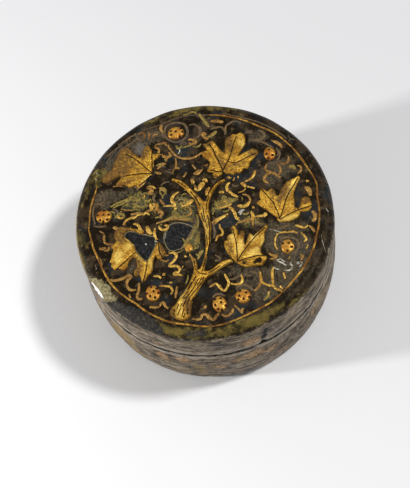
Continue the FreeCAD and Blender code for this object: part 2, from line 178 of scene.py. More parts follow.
# Worn side: thin lacquer over a bent board, from soot black to brown, rubbed to grey and olive.
worn_side, inner, given, leave = new_group("worn side", [], [("Tint", "Color"), ("Grain", "Float")])
place = inner.place_mm()
lumps = inner.cloud(inner.stretch(place, 0.35, 0.35, 1.0), 2.6, detail=5.0, rough=0.65)
tint = inner.blend(inner.step(lumps, 0.36, 0.64), (0.045, 0.032, 0.022), (0.38, 0.290, 0.195))
olive = inner.step(inner.cloud(inner.stretch(place, 0.5, 0.5, 1.0), 4.5, detail=4.0), 0.53, 0.63)
tint = inner.lay(tint, olive, 0.6, (0.20, 0.165, 0.075))
black_runs = use_group(inner, level_streaks, height=1.9, low=0.50, high=0.60)[0]
tint = inner.lay(tint, black_runs, 0.85, (0.022, 0.017, 0.013))
grey_runs = use_group(inner, level_streaks, height=2.3, low=0.53, high=0.63)[0]
tint = inner.lay(tint, grey_runs, 0.7, (0.38, 0.325, 0.265))
soot = inner.step(inner.cloud(place, 1.3, detail=5.0, rough=0.7), 0.55, 0.64)
tint = inner.lay(tint, soot, 0.8, (0.020, 0.016, 0.013))
rubs = inner.cloud(inner.stretch(place, 0.3, 0.3, 1.0), 1.3, detail=6.0, rough=0.75)
tint = inner.lay(tint, inner.step(rubs, 0.56, 0.64), 0.8, (0.56, 0.485, 0.395))
burns = inner.cloud(inner.stretch(place, 0.7, 0.7, 1.0), 4.5, detail=6.0, rough=0.75)
tint = inner.lay(tint, inner.step(burns, 0.52, 0.61), 0.75, (0.022, 0.018, 0.016))
ridges = use_group(inner, level_streaks, height=1.0, low=0.3, high=0.75)[0]
grain = inner.math("ADD", ridges, inner.cloud(place, 1.2, detail=4.0))
inner.tree.links.new(tint, leave.inputs[0])
inner.tree.links.new(grain, leave.inputs[1])

side_lacquer, finish, surface = new_finish("worn side lacquer", specular_ior_level=0.10)
place = finish.place_mm()
worn = use_group(finish, worn_side)
colour, grain = worn["Tint"], worn["Grain"]
crumbs = finish.cloud(finish.stretch(place, 0.6, 0.6, 1.0), 1.7, detail=5.0, rough=0.65)
char = finish.patches("tan", crumbs, 3.6, soft=0.10, edge=0.34)
colour = finish.lay(colour, char, 0.8, (0.030, 0.021, 0.014))
flakes = finish.cloud(finish.stretch(place, 0.7, 0.7, 1.0), 0.9, detail=5.0, rough=0.72)
tan = finish.blend(finish.step(crumbs, 0.40, 0.58), (0.54, 0.35, 0.185), (0.27, 0.165, 0.080))
tan = finish.lay(tan, finish.step(flakes, 0.55, 0.64), 0.8, (0.58, 0.45, 0.30))
tan = finish.lay(tan, finish.step(flakes, 0.46, 0.40), 0.8, (0.060, 0.040, 0.024))
colour = finish.lay(colour, finish.patches("tan", crumbs, 3.6, soft=0.10, edge=0.54), 0.9, tan)
ochre = finish.patches("ochre", crumbs, 3.2, soft=0.3)
ochre_dust = finish.blend(finish.step(flakes, 0.42, 0.60), (0.34, 0.235, 0.095), (0.17, 0.120, 0.052))
colour = finish.lay(colour, ochre, 0.8, ochre_dust)
dark = finish.patches("dark", crumbs, 2.6, soft=0.2)
colour = finish.blend(dark, colour, (0.008, 0.007, 0.006))
pale = finish.patches("pale", crumbs, 3.0, soft=0.2)
colour = finish.lay(colour, pale, 0.75, (0.42, 0.37, 0.30))
coat(finish, surface, colour, dull=crumbs, low=0.36, high=0.74, height=grain, depth=0.22)


def smooth_run(corners, spacing=1.0):
    """A closed profile through (radius, height, rounding) corners, its points at most a spacing apart."""
    run = []
    for order, (radius, height, rounding) in enumerate(corners):
        at = Vector((radius, height))
        if not rounding:
            run.append(at)
            continue
        before = (Vector(corners[order - 1][:2]) - at).normalized()
        after = (Vector(corners[(order + 1) % len(corners)][:2]) - at).normalized()
        half = before.angle(after) / 2
        centre = at + (before + after).normalized() * rounding / math.sin(half)
        start, end = (at + way * rounding / math.tan(half) - centre for way in (before, after))
        turns = max(4, math.ceil(rounding * (math.pi - 2 * half) / spacing))
        run += [centre + start.slerp(end, turn / turns) * rounding for turn in range(turns + 1)]
    profile = []
    for start, end in zip(run, run[1:] + run[:1]):
        parts = max(1, math.ceil((end - start).length / spacing))
        profile += [tuple(start.lerp(end, part / parts)) for part in range(parts)]
    return profile


def turned(profile, steps=360):
    """A turned form: a closed profile of (radius, height) points, spun about the box's axis."""
    shape = bmesh.new()
    points = [shape.verts.new((radius * MM, 0, height * MM)) for radius, height in profile]
    edges = [shape.edges.new(pair) for pair in zip(points, points[1:] + points[:1])]
    bmesh.ops.spin(
        shape, geom=points + edges, axis=(0, 0, 1), cent=(0, 0, 0), angle=math.tau,
        steps=steps, use_merge=True, use_duplicate=False,
    )
    bmesh.ops.remove_doubles(shape, verts=shape.verts, dist=1e-6)
    bmesh.ops.recalc_face_normals(shape, faces=shape.faces)
    return shape


def on_wall(point, lowest=2.0):
    """Whether a point lies on the outer face of a hoop, above a height."""
    return point.co.xy.length > wall_from * MM and point.co.z > lowest * MM


def work_by_hand(shape, depth, size, lowest=2.0):
    """Moves the outer face in and out by a soft noise, as hand work and age leave a surface."""
    for point in shape.verts:
        if on_wall(point, lowest):
            lump = noise.noise(point.co / (size * MM))
            point.co += Vector((point.co.x, point.co.y, 0)).normalized() * lump * depth * MM


def paint(shape, name, values):
    """Keeps one value for each point of the mesh under a name that the shaders can read."""
    layer = shape.verts.layers.float.new(name)
    for point, value in zip(shape.verts, values):
        point[layer] = float(value)


def spots_of(shape):
    """Where the points of a mesh are, in millimetres."""
    return np.array([point.co for point in shape.verts]) / MM


def blots(spots, ovals, soft=2.0):
    """1 well inside any of the ovals, 0 well outside, 0.5 on their edges.

    An oval is its centre, its two half widths and its turn in degrees.
    """
    best = np.zeros(len(spots))
    for x, y, wide, tall, turn in ovals:
        dx, dy = (spots - (x, y)).T
        cos, sin = math.cos(math.radians(turn)), math.sin(math.radians(turn))
        reach = np.hypot((dx * cos + dy * sin) / wide, (dy * cos - dx * sin) / tall)
        best = np.maximum(best, 0.5 + (1 - reach) * min(wide, tall) / soft)
    return np.clip(best, 0, 1)


def finished(name, shape, material, body, replaces=()):
    """Turns a bmesh into a piece that rides on a body."""
    mesh = bpy.data.meshes.new(name)
    shape.to_mesh(mesh)
    shape.free()
    mesh.shade_smooth()
    mesh.materials.append(material)
    piece = bpy.data.objects.new(name, mesh)
    bpy.context.scene.collection.objects.link(piece)
    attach(piece, body)
    if replaces:
        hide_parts(*replaces)


def wear_sides(shape, mouth, inward):
    """Paints a hoop: tan and ochre patches, the dark of the seam, and the pale lip beside it.

    A patch is its direction in degrees, its height, its half width and half height, and its turn in
    degrees. The hoop's mouth is at a height, and the hoop goes up (1) or down (-1) from there.
    """
    spots = spots_of(shape)
    flat = np.stack([np.arctan2(spots[:, 1], spots[:, 0]) * outer, spots[:, 2]], axis=1)
    for name, patches in (("tan", tan_patches), ("ochre", ochre_patches)):
        ovals = [(math.radians(way) * outer, *rest) for way, *rest in patches]
        paint(shape, name, blots(flat, ovals, 2.4))
    broad = np.array([noise.noise(Vector(spot) / 4.0) for spot in spots])
    waver = 1.5 * broad + 0.8 * np.array([noise.noise(Vector(spot) / 1.1) for spot in spots])
    off_seam = (spots[:, 2] - mouth) * inward
    dark_height = (0.75 + 0.7 * waver).clip(0.15)
    paint(shape, "dark", np.clip(1.05 - off_seam / dark_height, 0, 1))
    pale_middle, pale_half = 2.0, 1.3
    paint(shape, "pale", np.clip(1.0 - np.abs(off_seam - pale_middle) / pale_half, 0, 1))


base_bore, base_foot, outer, belly, belly_height = 41.85, 44.0, 45.5, 46.4, 14.0
seam, top, shoulder = 28.9, 46.9, 3.5
foot_bore, foot_depth, foot_round, belly_round, lip_round = 39.8, 1.2, 3.4, 75, 0.5
wall_from = 43.0
tan_patches = [
    (-144, 18.0, 4.5, 3.4, 0), (-123, 33.6, 1.6, 2.6, 0), (-121.5, 22.6, 2.4, 3.4, 20),
    (-112, 24.0, 3.2, 2.6, 0), (-96, 17.6, 3.2, 2.4, 0), (-80, 34.6, 3.6, 3.8, 25), (-90, 26.0, 4.0, 1.2, 8),
    (-82, 22.2, 6.0, 3.0, 15), (-72, 20.0, 3.0, 1.8, 20), (-47, 20.4, 1.2, 3.4, 0), (-160, 28.0, 1.4, 8.0, 0),
    (-66, 12.0, 3.0, 1.6, 0), (-58, 30.0, 2.6, 1.4, 10), (30, 20.0, 5.0, 2.0, 0), (95, 15.0, 7.0, 2.4, 0),
    (140, 22.0, 4.0, 3.0, 0), (165, 33.0, 3.4, 2.0, 0), (68, 31.0, 3.0, 2.2, 0),
]
ochre_patches = [
    (-143, 21.0, 6.0, 6.0, 30), (-137, 12.0, 4.0, 3.0, 20), (-105, 16.0, 1.8, 5.4, 10),
    (-66, 43.0, 2.0, 2.4, 0), (-40, 22.0, 5.0, 1.4, 10), (20, 36.0, 5.0, 2.0, 0), (120, 10.0, 6.0, 2.6, 0),
    (178, 20.0, 4.0, 3.0, 0),
]
profile = smooth_run(
    [
        (foot_bore, 0, 0), (base_foot, 0, foot_round), (belly, belly_height, belly_round),
        (outer, seam, lip_round), (base_bore, seam, 0), (base_bore, foot_depth, 0),
        (foot_bore, foot_depth, 0),
    ]
)
base_hoop = turned(profile)
work_by_hand(base_hoop, depth=0.22, size=9.0)
work_by_hand(base_hoop, depth=0.10, size=3.0)
wear_sides(base_hoop, mouth=seam, inward=-1)
finished("bent_base_hoop", base_hoop, side_lacquer, "base", ["base_hoop"])


# ---------------------------------------------------------------- The floor and the inner rim
# The floor is a disc glued in above the foot, and the rim a thin hoop glued in above it. Both are brushed
# with dark red-brown lacquer, which shows faint brush marks and small rubbed spots.
inner_lacquer, finish, surface = new_finish("inner lacquer", specular_ior_level=0.5, coat_weight=0.3)
place = finish.place_mm()
deep_red = (0.085, 0.016, 0.010)
colour = finish.blend(finish.cloud(place, 14.0), deep_red, (0.045, 0.010, 0.008))
brushed = finish.cloud(finish.stretch(place, 1.0, 0.08, 1.0), 0.9, detail=4.0)
colour = finish.lay(colour, brushed, 0.35, (0.14, 0.03, 0.018))
spots = finish.step(finish.cloud(place, 1.1, detail=5.0, rough=0.7), 0.64, 0.72)
colour = finish.lay(colour, spots, 0.6, (0.02, 0.015, 0.013))
dull = finish.cloud(place, 5.0)
coat(finish, surface, colour, dull, low=0.22, high=0.5, height=brushed, depth=0.04)


def dress(material, *nodes):
    """Gives the frame's own solids a finish of this script."""
    for node in nodes:
        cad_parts[node].material_slots[0].material = material


dress(inner_lacquer, "base_floor", "inner_rim")


# ---------------------------------------------------------------- The hoop of the lid
# A second bent hoop, lacquered as the base is, and glued under the lid's panel. It slips over the inner rim
# and comes down on the mouth of the base, with a dark line between. A split runs up it near the front.
lid_mouth, lid_bore, panel_foot = seam + 0.25, 42.1, top - 5.4
profile = smooth_run(
    [
        (lid_bore, lid_mouth, 0), (outer, lid_mouth, lip_round), (outer, panel_foot, 0),
        (lid_bore, panel_foot, 0),
    ]
)
lid_hoop = turned(profile)
work_by_hand(lid_hoop, depth=0.22, size=9.0)
work_by_hand(lid_hoop, depth=0.08, size=3.0)
wear_sides(lid_hoop, mouth=lid_mouth, inward=1)
split_way, split_middle, split_lean, split_width = -73.6, 36.0, 0.22, 1.1
mm_per_degree, split_depth = 0.8, 0.012
darkness = lid_hoop.verts.layers.float["dark"]
for point in lid_hoop.verts:
    way = math.degrees(math.atan2(point.co.y, point.co.x))
    off_split = (way - split_way + (split_middle - point.co.z / MM) * split_lean) * mm_per_degree
    depth = math.exp(-((off_split / split_width) ** 2)) * on_wall(point)
    point.co.xy *= 1 - split_depth * depth
    point[darkness] = max(point[darkness], depth)
finished("bent_lid_hoop", lid_hoop, side_lacquer, "lid", ["lid_hoop"])


# ---------------------------------------------------------------- The panel of the lid
# A turned panel glued over the hoop, with a small rounded shoulder. Many coats of black lacquer, hazed and
# speckled with age. Olive-gold dust clings to the shoulder, and the field has crusty spots and a hollow.
def within(spots, outline):
    """For each spot, whether it is inside a closed outline."""
    inside = np.zeros(len(spots), dtype=bool)
    for (x1, y1), (x2, y2) in zip(outline, outline[1:] + outline[:1]):
        crosses = (y1 > spots[:, 1]) != (y2 > spots[:, 1])
        rise = (y2 - y1) or 1e-12
        inside ^= crosses & (spots[:, 0] < (x2 - x1) * (spots[:, 1] - y1) / rise + x1)
    return inside


def off_line(spots, run, closed=False):
    """For each spot, how far it is from a line of points, and the nearest place on the line."""
    run = np.array(run, dtype=float)
    starts, ends = (run, np.roll(run, -1, axis=0)) if closed else (run[:-1], run[1:])
    if len(run) == 1:
        starts, ends = run, run
    best = np.full(len(spots), 1e9)
    nearest = np.zeros_like(spots)
    for start, end in zip(starts, ends):
        way = end - start
        part = ((spots - start) @ way) / max(way @ way, 1e-12)
        foot = start + np.clip(part, 0, 1)[:, None] * way
        gap = np.hypot(*(spots - foot).T)
        closer = gap < best
        best[closer] = gap[closer]
        nearest[closer] = foot[closer]
    return best, nearest


def stained(spots, outlines, soft=2.5):
    """1 well inside any of the outlines, 0 well outside, 0.5 on their edges."""
    best = np.zeros(len(spots))
    for outline in outlines:
        low, high = np.min(outline, axis=0) - soft, np.max(outline, axis=0) + soft
        near = np.flatnonzero(((spots > low) & (spots < high)).all(axis=1))
        inside = within(spots[near], outline)
        gap = off_line(spots[near], outline, closed=True)[0]
        best[near] = np.maximum(best[near], np.clip(0.5 + np.where(inside, gap, -gap) / soft, 0, 1))
    return best


black_lacquer, finish, surface = new_finish(
    "black lid lacquer", specular_ior_level=0.13, specular_tint=(1.0, 0.82, 0.56)
)
place = finish.place_mm()
fine = finish.cloud(place, 0.9, detail=6.0, rough=0.72)
crumbs = finish.cloud(place, 2.2, detail=6.0, rough=0.68)
lumps = finish.cloud(place, 4.5, detail=5.0, rough=0.6)
colour = finish.blend(finish.cloud(place, 13.0), (0.0050, 0.0034, 0.0022), (0.0120, 0.0080, 0.0040))
blue_black = finish.step(finish.cloud(place, 8.0, detail=4.0), 0.50, 0.66)
colour = finish.lay(colour, blue_black, 0.8, (0.020, 0.026, 0.031))
brown_black = finish.step(lumps, 0.49, 0.62)
colour = finish.lay(colour, brown_black, 0.75, (0.052, 0.034, 0.019))
crust_black = finish.step(crumbs, 0.56, 0.68)
colour = finish.lay(colour, crust_black, 0.75, (0.115, 0.078, 0.036))
dust = finish.step(fine, 0.61, 0.70)
colour = finish.lay(colour, dust, 0.85, (0.24, 0.155, 0.062))
streaked = finish.cloud(finish.stretch(place, 1.0, 0.45, 1.0), 1.7, detail=5.0, rough=0.7)
haze = finish.patches("haze", streaked, 4.2, soft=0.40, edge=0.62)
hazed = finish.blend(finish.step(fine, 0.40, 0.62), (0.045, 0.036, 0.024), (0.145, 0.112, 0.066))
colour = finish.lay(colour, haze, 0.75, hazed)
light = finish.patches("light", streaked, 4.0, soft=0.5, edge=0.6)
colour = finish.lay(colour, light, 0.6, (0.17, 0.15, 0.135))
moss = finish.patches("moss", fine, 4.6, soft=0.16, edge=0.80)
mossy = finish.blend(finish.step(crumbs, 0.42, 0.62), (0.26, 0.185, 0.048), (0.085, 0.082, 0.042))
moss_bed = finish.patches("moss", crumbs, 3.4, soft=0.25)
colour = finish.lay(colour, moss_bed, 0.6, (0.050, 0.046, 0.026))
colour = finish.blend(moss, colour, mossy)
brown = finish.patches("brown", crumbs, 3.6, soft=0.3)
colour = finish.lay(colour, brown, 0.8, (0.125, 0.086, 0.042))
olive = finish.patches("olive", crumbs, 3.4, soft=0.18)
olive_dust = finish.blend(finish.step(lumps, 0.40, 0.60), (0.030, 0.024, 0.009), (0.160, 0.118, 0.030))
olive_dust = finish.lay(olive_dust, finish.step(fine, 0.53, 0.66), 0.7, (0.27, 0.20, 0.055))
colour = finish.lay(colour, olive, 0.92, olive_dust)
straw = finish.patches("straw", crumbs, 2.0, soft=0.12)
straw_dust = finish.blend(finish.step(fine, 0.42, 0.64), (0.145, 0.120, 0.056), (0.36, 0.31, 0.165))
colour = finish.blend(straw, colour, straw_dust)
clean = finish.patches("clean", crumbs, 2.0, soft=0.2)
cleaned = finish.blend(finish.step(fine, 0.42, 0.68), (0.021, 0.021, 0.023), (0.075, 0.067, 0.055))
colour = finish.lay(colour, clean, 0.85, cleaned)
hollow = finish.patches("bare", crumbs, 0.8, soft=0.10)
slate_blue = finish.blend(finish.step(fine, 0.44, 0.72), (0.009, 0.010, 0.011), (0.048, 0.050, 0.052))
colour = finish.blend(hollow, colour, slate_blue)
lip = finish.math("MULTIPLY", finish.patches("bare", crumbs, 0.8, soft=0.10, edge=0.26), 0.75)
lip = finish.math("MULTIPLY", lip, finish.math("SUBTRACT", 1.0, hollow))
colour = finish.blend(lip, colour, (0.30, 0.25, 0.13))
# A pale olive band along the shoulder, on the far side of the lid only.
far_shoulder_band = finish.patches("far_shoulder_band", crumbs, 2.0, soft=0.20, edge=0.45)
colour = finish.lay(colour, far_shoulder_band, 0.85, (0.32, 0.235, 0.080))
edge = finish.patches("edge", crumbs, 2.0, soft=0.12)
colour = finish.blend(edge, colour, use_group(finish, worn_side)["Tint"])
crust = finish.math("MAXIMUM", moss, finish.math("MAXIMUM", haze, finish.math("MAXIMUM", olive, edge)))
dull = finish.math("ADD", finish.math("MULTIPLY", crust, 0.28), finish.math("MULTIPLY", fine, 0.40))
bumps = finish.math("ADD", crumbs, finish.math("MULTIPLY", fine, finish.math("ADD", crust, 0.25)))
coat(finish, surface, colour, dull, low=0.16, high=1.16, height=bumps, depth=0.26)

# The stains on the lid, by the name under which they are painted. Each is a list of outlines.
stains = {
    "olive": [
        [(-34.8, 26.6), (-30.8, 25.9), (-30.2, 24.5), (-31.9, 22.3), (-32.8, 20.5), (-34.2, 19.8),
            (-36.7, 19.2), (-39.1, 17.4), (-38.6, 21.0), (-36.8, 23.8)],
        [(-42.1, 13.5), (-39.7, 17.5), (-38.8, 17.0), (-40.5, 14.1), (-41.8, 11.9)],
        [(-46.0, 4.3), (-43.4, 4.6), (-41.9, 0.1), (-41.6, -3.4), (-43.5, -3.4), (-46.2, -1.9)],
        [(-46.1, -2.9), (-44.0, -3.2), (-43.2, -6.8), (-43.6, -10.6), (-44.8, -11.3), (-45.7, -6.9)],
        [(-23.2, -34.6), (-22.4, -36.8), (-21.2, -38.8), (-20.4, -39.9), (-19.4, -41.1), (-16.7, -43.0),
            (-11.5, -44.6), (-5.8, -44.8), (-0.8, -45.5), (4.3, -45.2), (9.4, -44.3), (14.5, -42.8),
            (18.6, -40.8), (21.1, -39.3), (21.2, -37.3), (19.5, -37.2), (16.5, -38.0), (12.4, -39.2),
            (7.3, -40.7), (3.3, -41.6), (-0.7, -42.0), (-5.8, -41.7), (-10.8, -40.3), (-14.8, -39.0),
            (-18.8, -37.2)],
        [(21.9, -40.3), (26.3, -38.2), (31.9, -34.9), (31.3, -33.5), (25.8, -36.5), (22.0, -38.8)],
        [(-8.5, 45.4), (-4.3, 46.0), (0.9, 46.2), (7.2, 45.6), (13.5, 44.2), (20.8, 41.2), (19.5, 38.7),
            (12.9, 40.7), (6.9, 41.7), (0.8, 42.0), (-3.2, 41.9), (-7.7, 42.6)],
        [(-14.8, 41.6), (-11.3, 42.6), (-8.8, 43.6), (-9.3, 41.1), (-13.3, 40.5)],
    ],
    "straw": [
        [(-45.1, -10.1), (-44.4, -9.4), (-43.3, -12.6), (-42.7, -15.7), (-43.3, -16.2), (-44.3, -13.1)],
        [(-43.5, -15.5), (-41.9, -14.6), (-39.4, -16.1), (-37.2, -17.9), (-35.6, -20.3), (-36.0, -22.4),
            (-33.8, -24.4), (-35.0, -25.1), (-39.4, -24.5), (-50.4, -23.4), (-41.5, -20.3), (-42.7, -17.6)],
    ],
    "clean": [
        [(-13.5, -41.2), (-7.8, -41.7), (-6.9, -43.9), (-11.0, -43.6), (-14.0, -42.5)],
        [(14.2, -39.8), (15.4, -40.2), (16.2, -42.2), (15.1, -42.1)],
        [(-34.2, -25.5), (-24.8, -32.3), (-22.3, -35.9), (-20.6, -39.4), (-23.8, -42.6), (-32.1, -40.1),
            (-39.0, -33.5), (-42.3, -26.9)],
    ],
    "brown": [
        [(4.3, 40.7), (6.9, 40.5), (7.8, 38.2), (8.4, 36.2), (7.4, 35.2), (6.6, 35.8), (6.2, 37.8),
            (4.6, 39.3)],
    ],
    "moss": [
        [(-24.4, 13.9), (-19.9, 14.2), (-17.7, 12.2), (-17.4, 8.7), (-19.0, 6.5), (-22.0, 6.5), (-24.5, 7.8),
            (-27.5, 9.5), (-26.0, 11.4)],
        [(-17.4, 9.1), (-14.3, 8.6), (-14.0, 5.1), (-16.4, 3.6), (-18.6, 5.2)],
        [(-10.4, 6.5), (-7.8, 9.5), (-3.8, 9.0), (-2.5, 6.3), (-2.3, 1.7), (-3.6, -2.3), (-6.0, -0.5),
            (-9.0, -0.3), (-12.0, 1.2), (-11.0, 4.5)],
        [(-3.6, -3.3), (-2.1, -4.9), (-2.3, -9.0), (-3.6, -13.0), (-8.8, -13.1), (-9.6, -11.2), (-7.5, -8.4),
            (-4.6, -5.6)],
        [(3.1, 0.7), (4.2, 4.6), (8.2, 5.4), (12.7, 4.5), (12.4, 2.5), (8.1, 1.0), (4.5, -0.6)],
        [(12.1, -4.6), (16.1, -3.5), (19.5, -4.8), (19.6, -7.4), (15.0, -8.3), (12.5, -6.8)],
        [(-31.1, 7.8), (-27.6, 7.9), (-27.1, 5.4), (-30.6, 4.9)],
    ],
    "haze": [
        [(-32.8, 24.8), (-29.7, 28.8), (-24.6, 33.1), (-18.4, 36.4), (-11.3, 38.1), (-8.3, 37.0),
            (-9.0, 30.9), (-12.5, 32.0), (-15.5, 32.0), (-17.1, 28.0), (-19.6, 28.1), (-21.2, 24.0),
            (-26.8, 23.7), (-26.8, 22.1), (-29.9, 19.8), (-32.9, 20.2)],
        [(-36.6, 11.7), (-36.0, 16.7), (-30.9, 16.7), (-26.9, 15.6), (-24.4, 17.0), (-22.9, 14.3),
            (-28.0, 12.0), (-33.1, 10.5)],
        [(20.8, 30.2), (24.8, 29.7), (27.8, 26.3), (25.7, 22.9), (21.7, 24.4)],
        [(21.4, 8.8), (24.4, 6.1), (28.4, 7.6), (34.5, 9.9), (34.6, 15.6), (30.6, 16.7), (25.6, 15.8),
            (22.1, 12.8)],
        [(20.4, -9.5), (24.1, -9.2), (29.1, -9.7), (35.1, -10.2), (34.1, -13.9), (29.4, -13.4),
            (23.0, -12.2)],
        [(-31.9, -4.2), (-34.4, -5.2), (-31.4, -6.9), (-28.9, -6.3)],
        [(-28.5, -13.4), (-26.4, -11.5), (-26.0, -14.5), (-27.9, -16.1), (-31.5, -15.4), (-29.5, -15.1)],
        [(5.7, -20.9), (11.7, -23.1), (17.7, -23.6), (17.7, -27.7), (9.6, -26.5), (4.7, -23.4)],
        [(36.8, -25.8), (47.6, -30.9), (41.4, -38.7), (31.7, -44.8), (24.4, -45.3), (20.6, -40.7),
            (26.2, -37.8), (32.1, -32.7)],
        [(19.5, -7.0), (32.3, -9.8), (34.8, -17.4), (32.4, -25.2), (26.1, -32.1), (16.4, -36.0), (9.2, -34.4),
            (5.9, -30.0), (7.9, -26.7), (16.5, -25.6), (21.6, -20.6), (17.7, -15.9)],
    ],
    "light": [
        [(-19.1, 32.9), (-15.9, 33.1), (-15.6, 28.6), (-17.8, 27.6), (-20.0, 30.1)],
    ],
}
hollow_outline = [
    (-14.5, -4.3), (-13.3, -2.9), (-12.2, -1.3), (-10.5, -0.8), (-8.8, -1.1), (-7.1, -1.8), (-5.7, -2.8),
    (-4.5, -3.7), (-4.8, -5.1), (-6.4, -6.5), (-7.7, -8.1), (-8.7, -9.5), (-9.8, -10.8), (-11.8, -11.0),
    (-13.7, -10.7), (-14.3, -9.4), (-14.8, -7.7), (-15.0, -6.0),
]
chip_outline = [
    (-28.4, -1.8), (-27.7, -0.9), (-26.2, -0.6), (-24.3, -1.4), (-22.6, -2.6), (-20.2, -3.7), (-18.2, -4.6),
    (-18.0, -6.5), (-18.5, -8.0), (-19.7, -9.7), (-20.8, -11.4), (-22.0, -12.8), (-22.9, -12.5),
    (-23.6, -11.2), (-24.3, -9.9), (-25.1, -8.4), (-25.3, -6.6), (-26.3, -5.1), (-27.7, -3.8), (-28.6, -2.7),
]

field_radius = outer - shoulder
tongue_foot, tongue_bore, ceiling = panel_foot - 1.2, 38.9, top - 4.0
profile = smooth_run(
    [
        (0, top, 0), (outer, top, shoulder), (outer, panel_foot, 0), (lid_bore, panel_foot, 0),
        (lid_bore, tongue_foot, 0), (tongue_bore, tongue_foot, 0), (tongue_bore, ceiling, 0),
        (0, ceiling, 0),
    ],
    spacing=0.45,
)
lid_panel = turned(profile, steps=400)
spots = spots_of(lid_panel)
radius = np.hypot(spots[:, 0], spots[:, 1])
drop = np.clip(top - shoulder - spots[:, 2], 0, None)
rise = np.clip(spots[:, 2] - top + shoulder, 1e-6, None)
lean = np.arctan2(np.clip(radius - field_radius, 0, None), rise)
unrolled = np.where(radius < field_radius, radius, field_radius + shoulder * lean + drop)
outside = (spots[:, 2] > top - 0.01) | (radius > field_radius)
flat = spots[:, :2] / np.maximum(radius, 1e-9)[:, None] * unrolled[:, None]
masks = {name: stained(flat, outlines) for name, outlines in stains.items()}
hollow = stained(flat, [hollow_outline], soft=1.2)
masks["bare"] = np.maximum(hollow, stained(flat, [chip_outline], soft=1.0))
edge_start, edge_width = 45.2, 2.4
masks["edge"] = np.clip((unrolled - edge_start) / edge_width, 0, 1)
# Where the pale olive band lies: a strip across the shoulder, fading in towards the far side.
far_band_middle, far_band_half, far_way, far_fade = 46.3, 1.5, (-0.55, 0.83, 0), 22
far_shoulder_band = (1 - np.abs(unrolled - far_band_middle) / far_band_half).clip(0)
masks["far_shoulder_band"] = far_shoulder_band * np.clip((spots @ far_way) / far_fade, 0, 1)
for name, mask in masks.items():
    paint(lid_panel, name, mask * outside)
swell_height, grit_height, hollow_depth = 0.05, 0.16, 0.30
on_field = outside & (spots[:, 2] > top - shoulder)
panel_points = list(lid_panel.verts)
for order in np.flatnonzero(on_field):
    spot, sunk = Vector(spots[order]), masks["bare"][order]
    swell = swell_height * noise.noise(spot / 9.0) - swell_height
    grit = grit_height * masks["moss"][order] * max(0.0, noise.noise(spot / 1.4) + 0.35)
    dip = hollow_depth * sunk * sunk * (3 - 2 * sunk)
    panel_points[order].co.z += (swell + grit - dip) * MM
work_by_hand(lid_panel, depth=0.20, size=9.0, lowest=panel_foot - 0.1)
finished("turned_lid_panel", lid_panel, black_lacquer, "lid", ["lid_panel"])


# ---------------------------------------------------------------- The gold border line
# One brush stroke of gold lacquer round the field, a little off centre. It is bright at the left and the
# bottom, and rubbed down to brown elsewhere. A second, fainter stroke runs beside it in places.
def gold_finish(name, bright, rubbed, metal, worn_span):
    """Gold dust in lacquer, rubbed down to brown where a noise passes the span from unworn to worn."""
    material, finish, surface = new_finish(
        name, metallic=metal, specular_ior_level=0.3, specular_tint=(1.0, 0.80, 0.45)
    )
    place = finish.place_mm()
    broad = finish.step(finish.cloud(place, 6.0, detail=5.0, rough=0.65), *worn_span)
    small = finish.step(finish.cloud(place, 0.9, detail=5.0, rough=0.7), 0.47, 0.60)
    wear = finish.math("MAXIMUM", broad, finish.math("MULTIPLY", small, 0.85))
    shade = tuple(0.55 * part for part in bright)
    dust = finish.blend(finish.cloud(place, 1.6, detail=4.0), bright, shade)
    colour = finish.blend(wear, dust, rubbed)
    return material, finish, surface, place, colour, wear


def stroke_gold(name, bright, rubbed, metal, worn_span):
    """The gold of thin strokes, with black dirt in its pits and brown along its edges."""
    material, finish, surface, place, colour, wear = gold_finish(name, bright, rubbed, metal, worn_span)
    pits = finish.step(finish.cloud(place, 0.6, detail=4.0, rough=0.7), 0.54, 0.63)
    colour = finish.lay(colour, pits, 0.8, (0.030, 0.019, 0.009))
    rim = finish.step(finish.painted("edge"), 0.30, 0.80)
    colour = finish.lay(colour, rim, 0.85, (0.085, 0.040, 0.012))
    fine = finish.cloud(place, 0.5, detail=3.0)
    coat(finish, surface, colour, dull=wear, low=0.42, high=0.72, height=fine, depth=0.06)
    return material


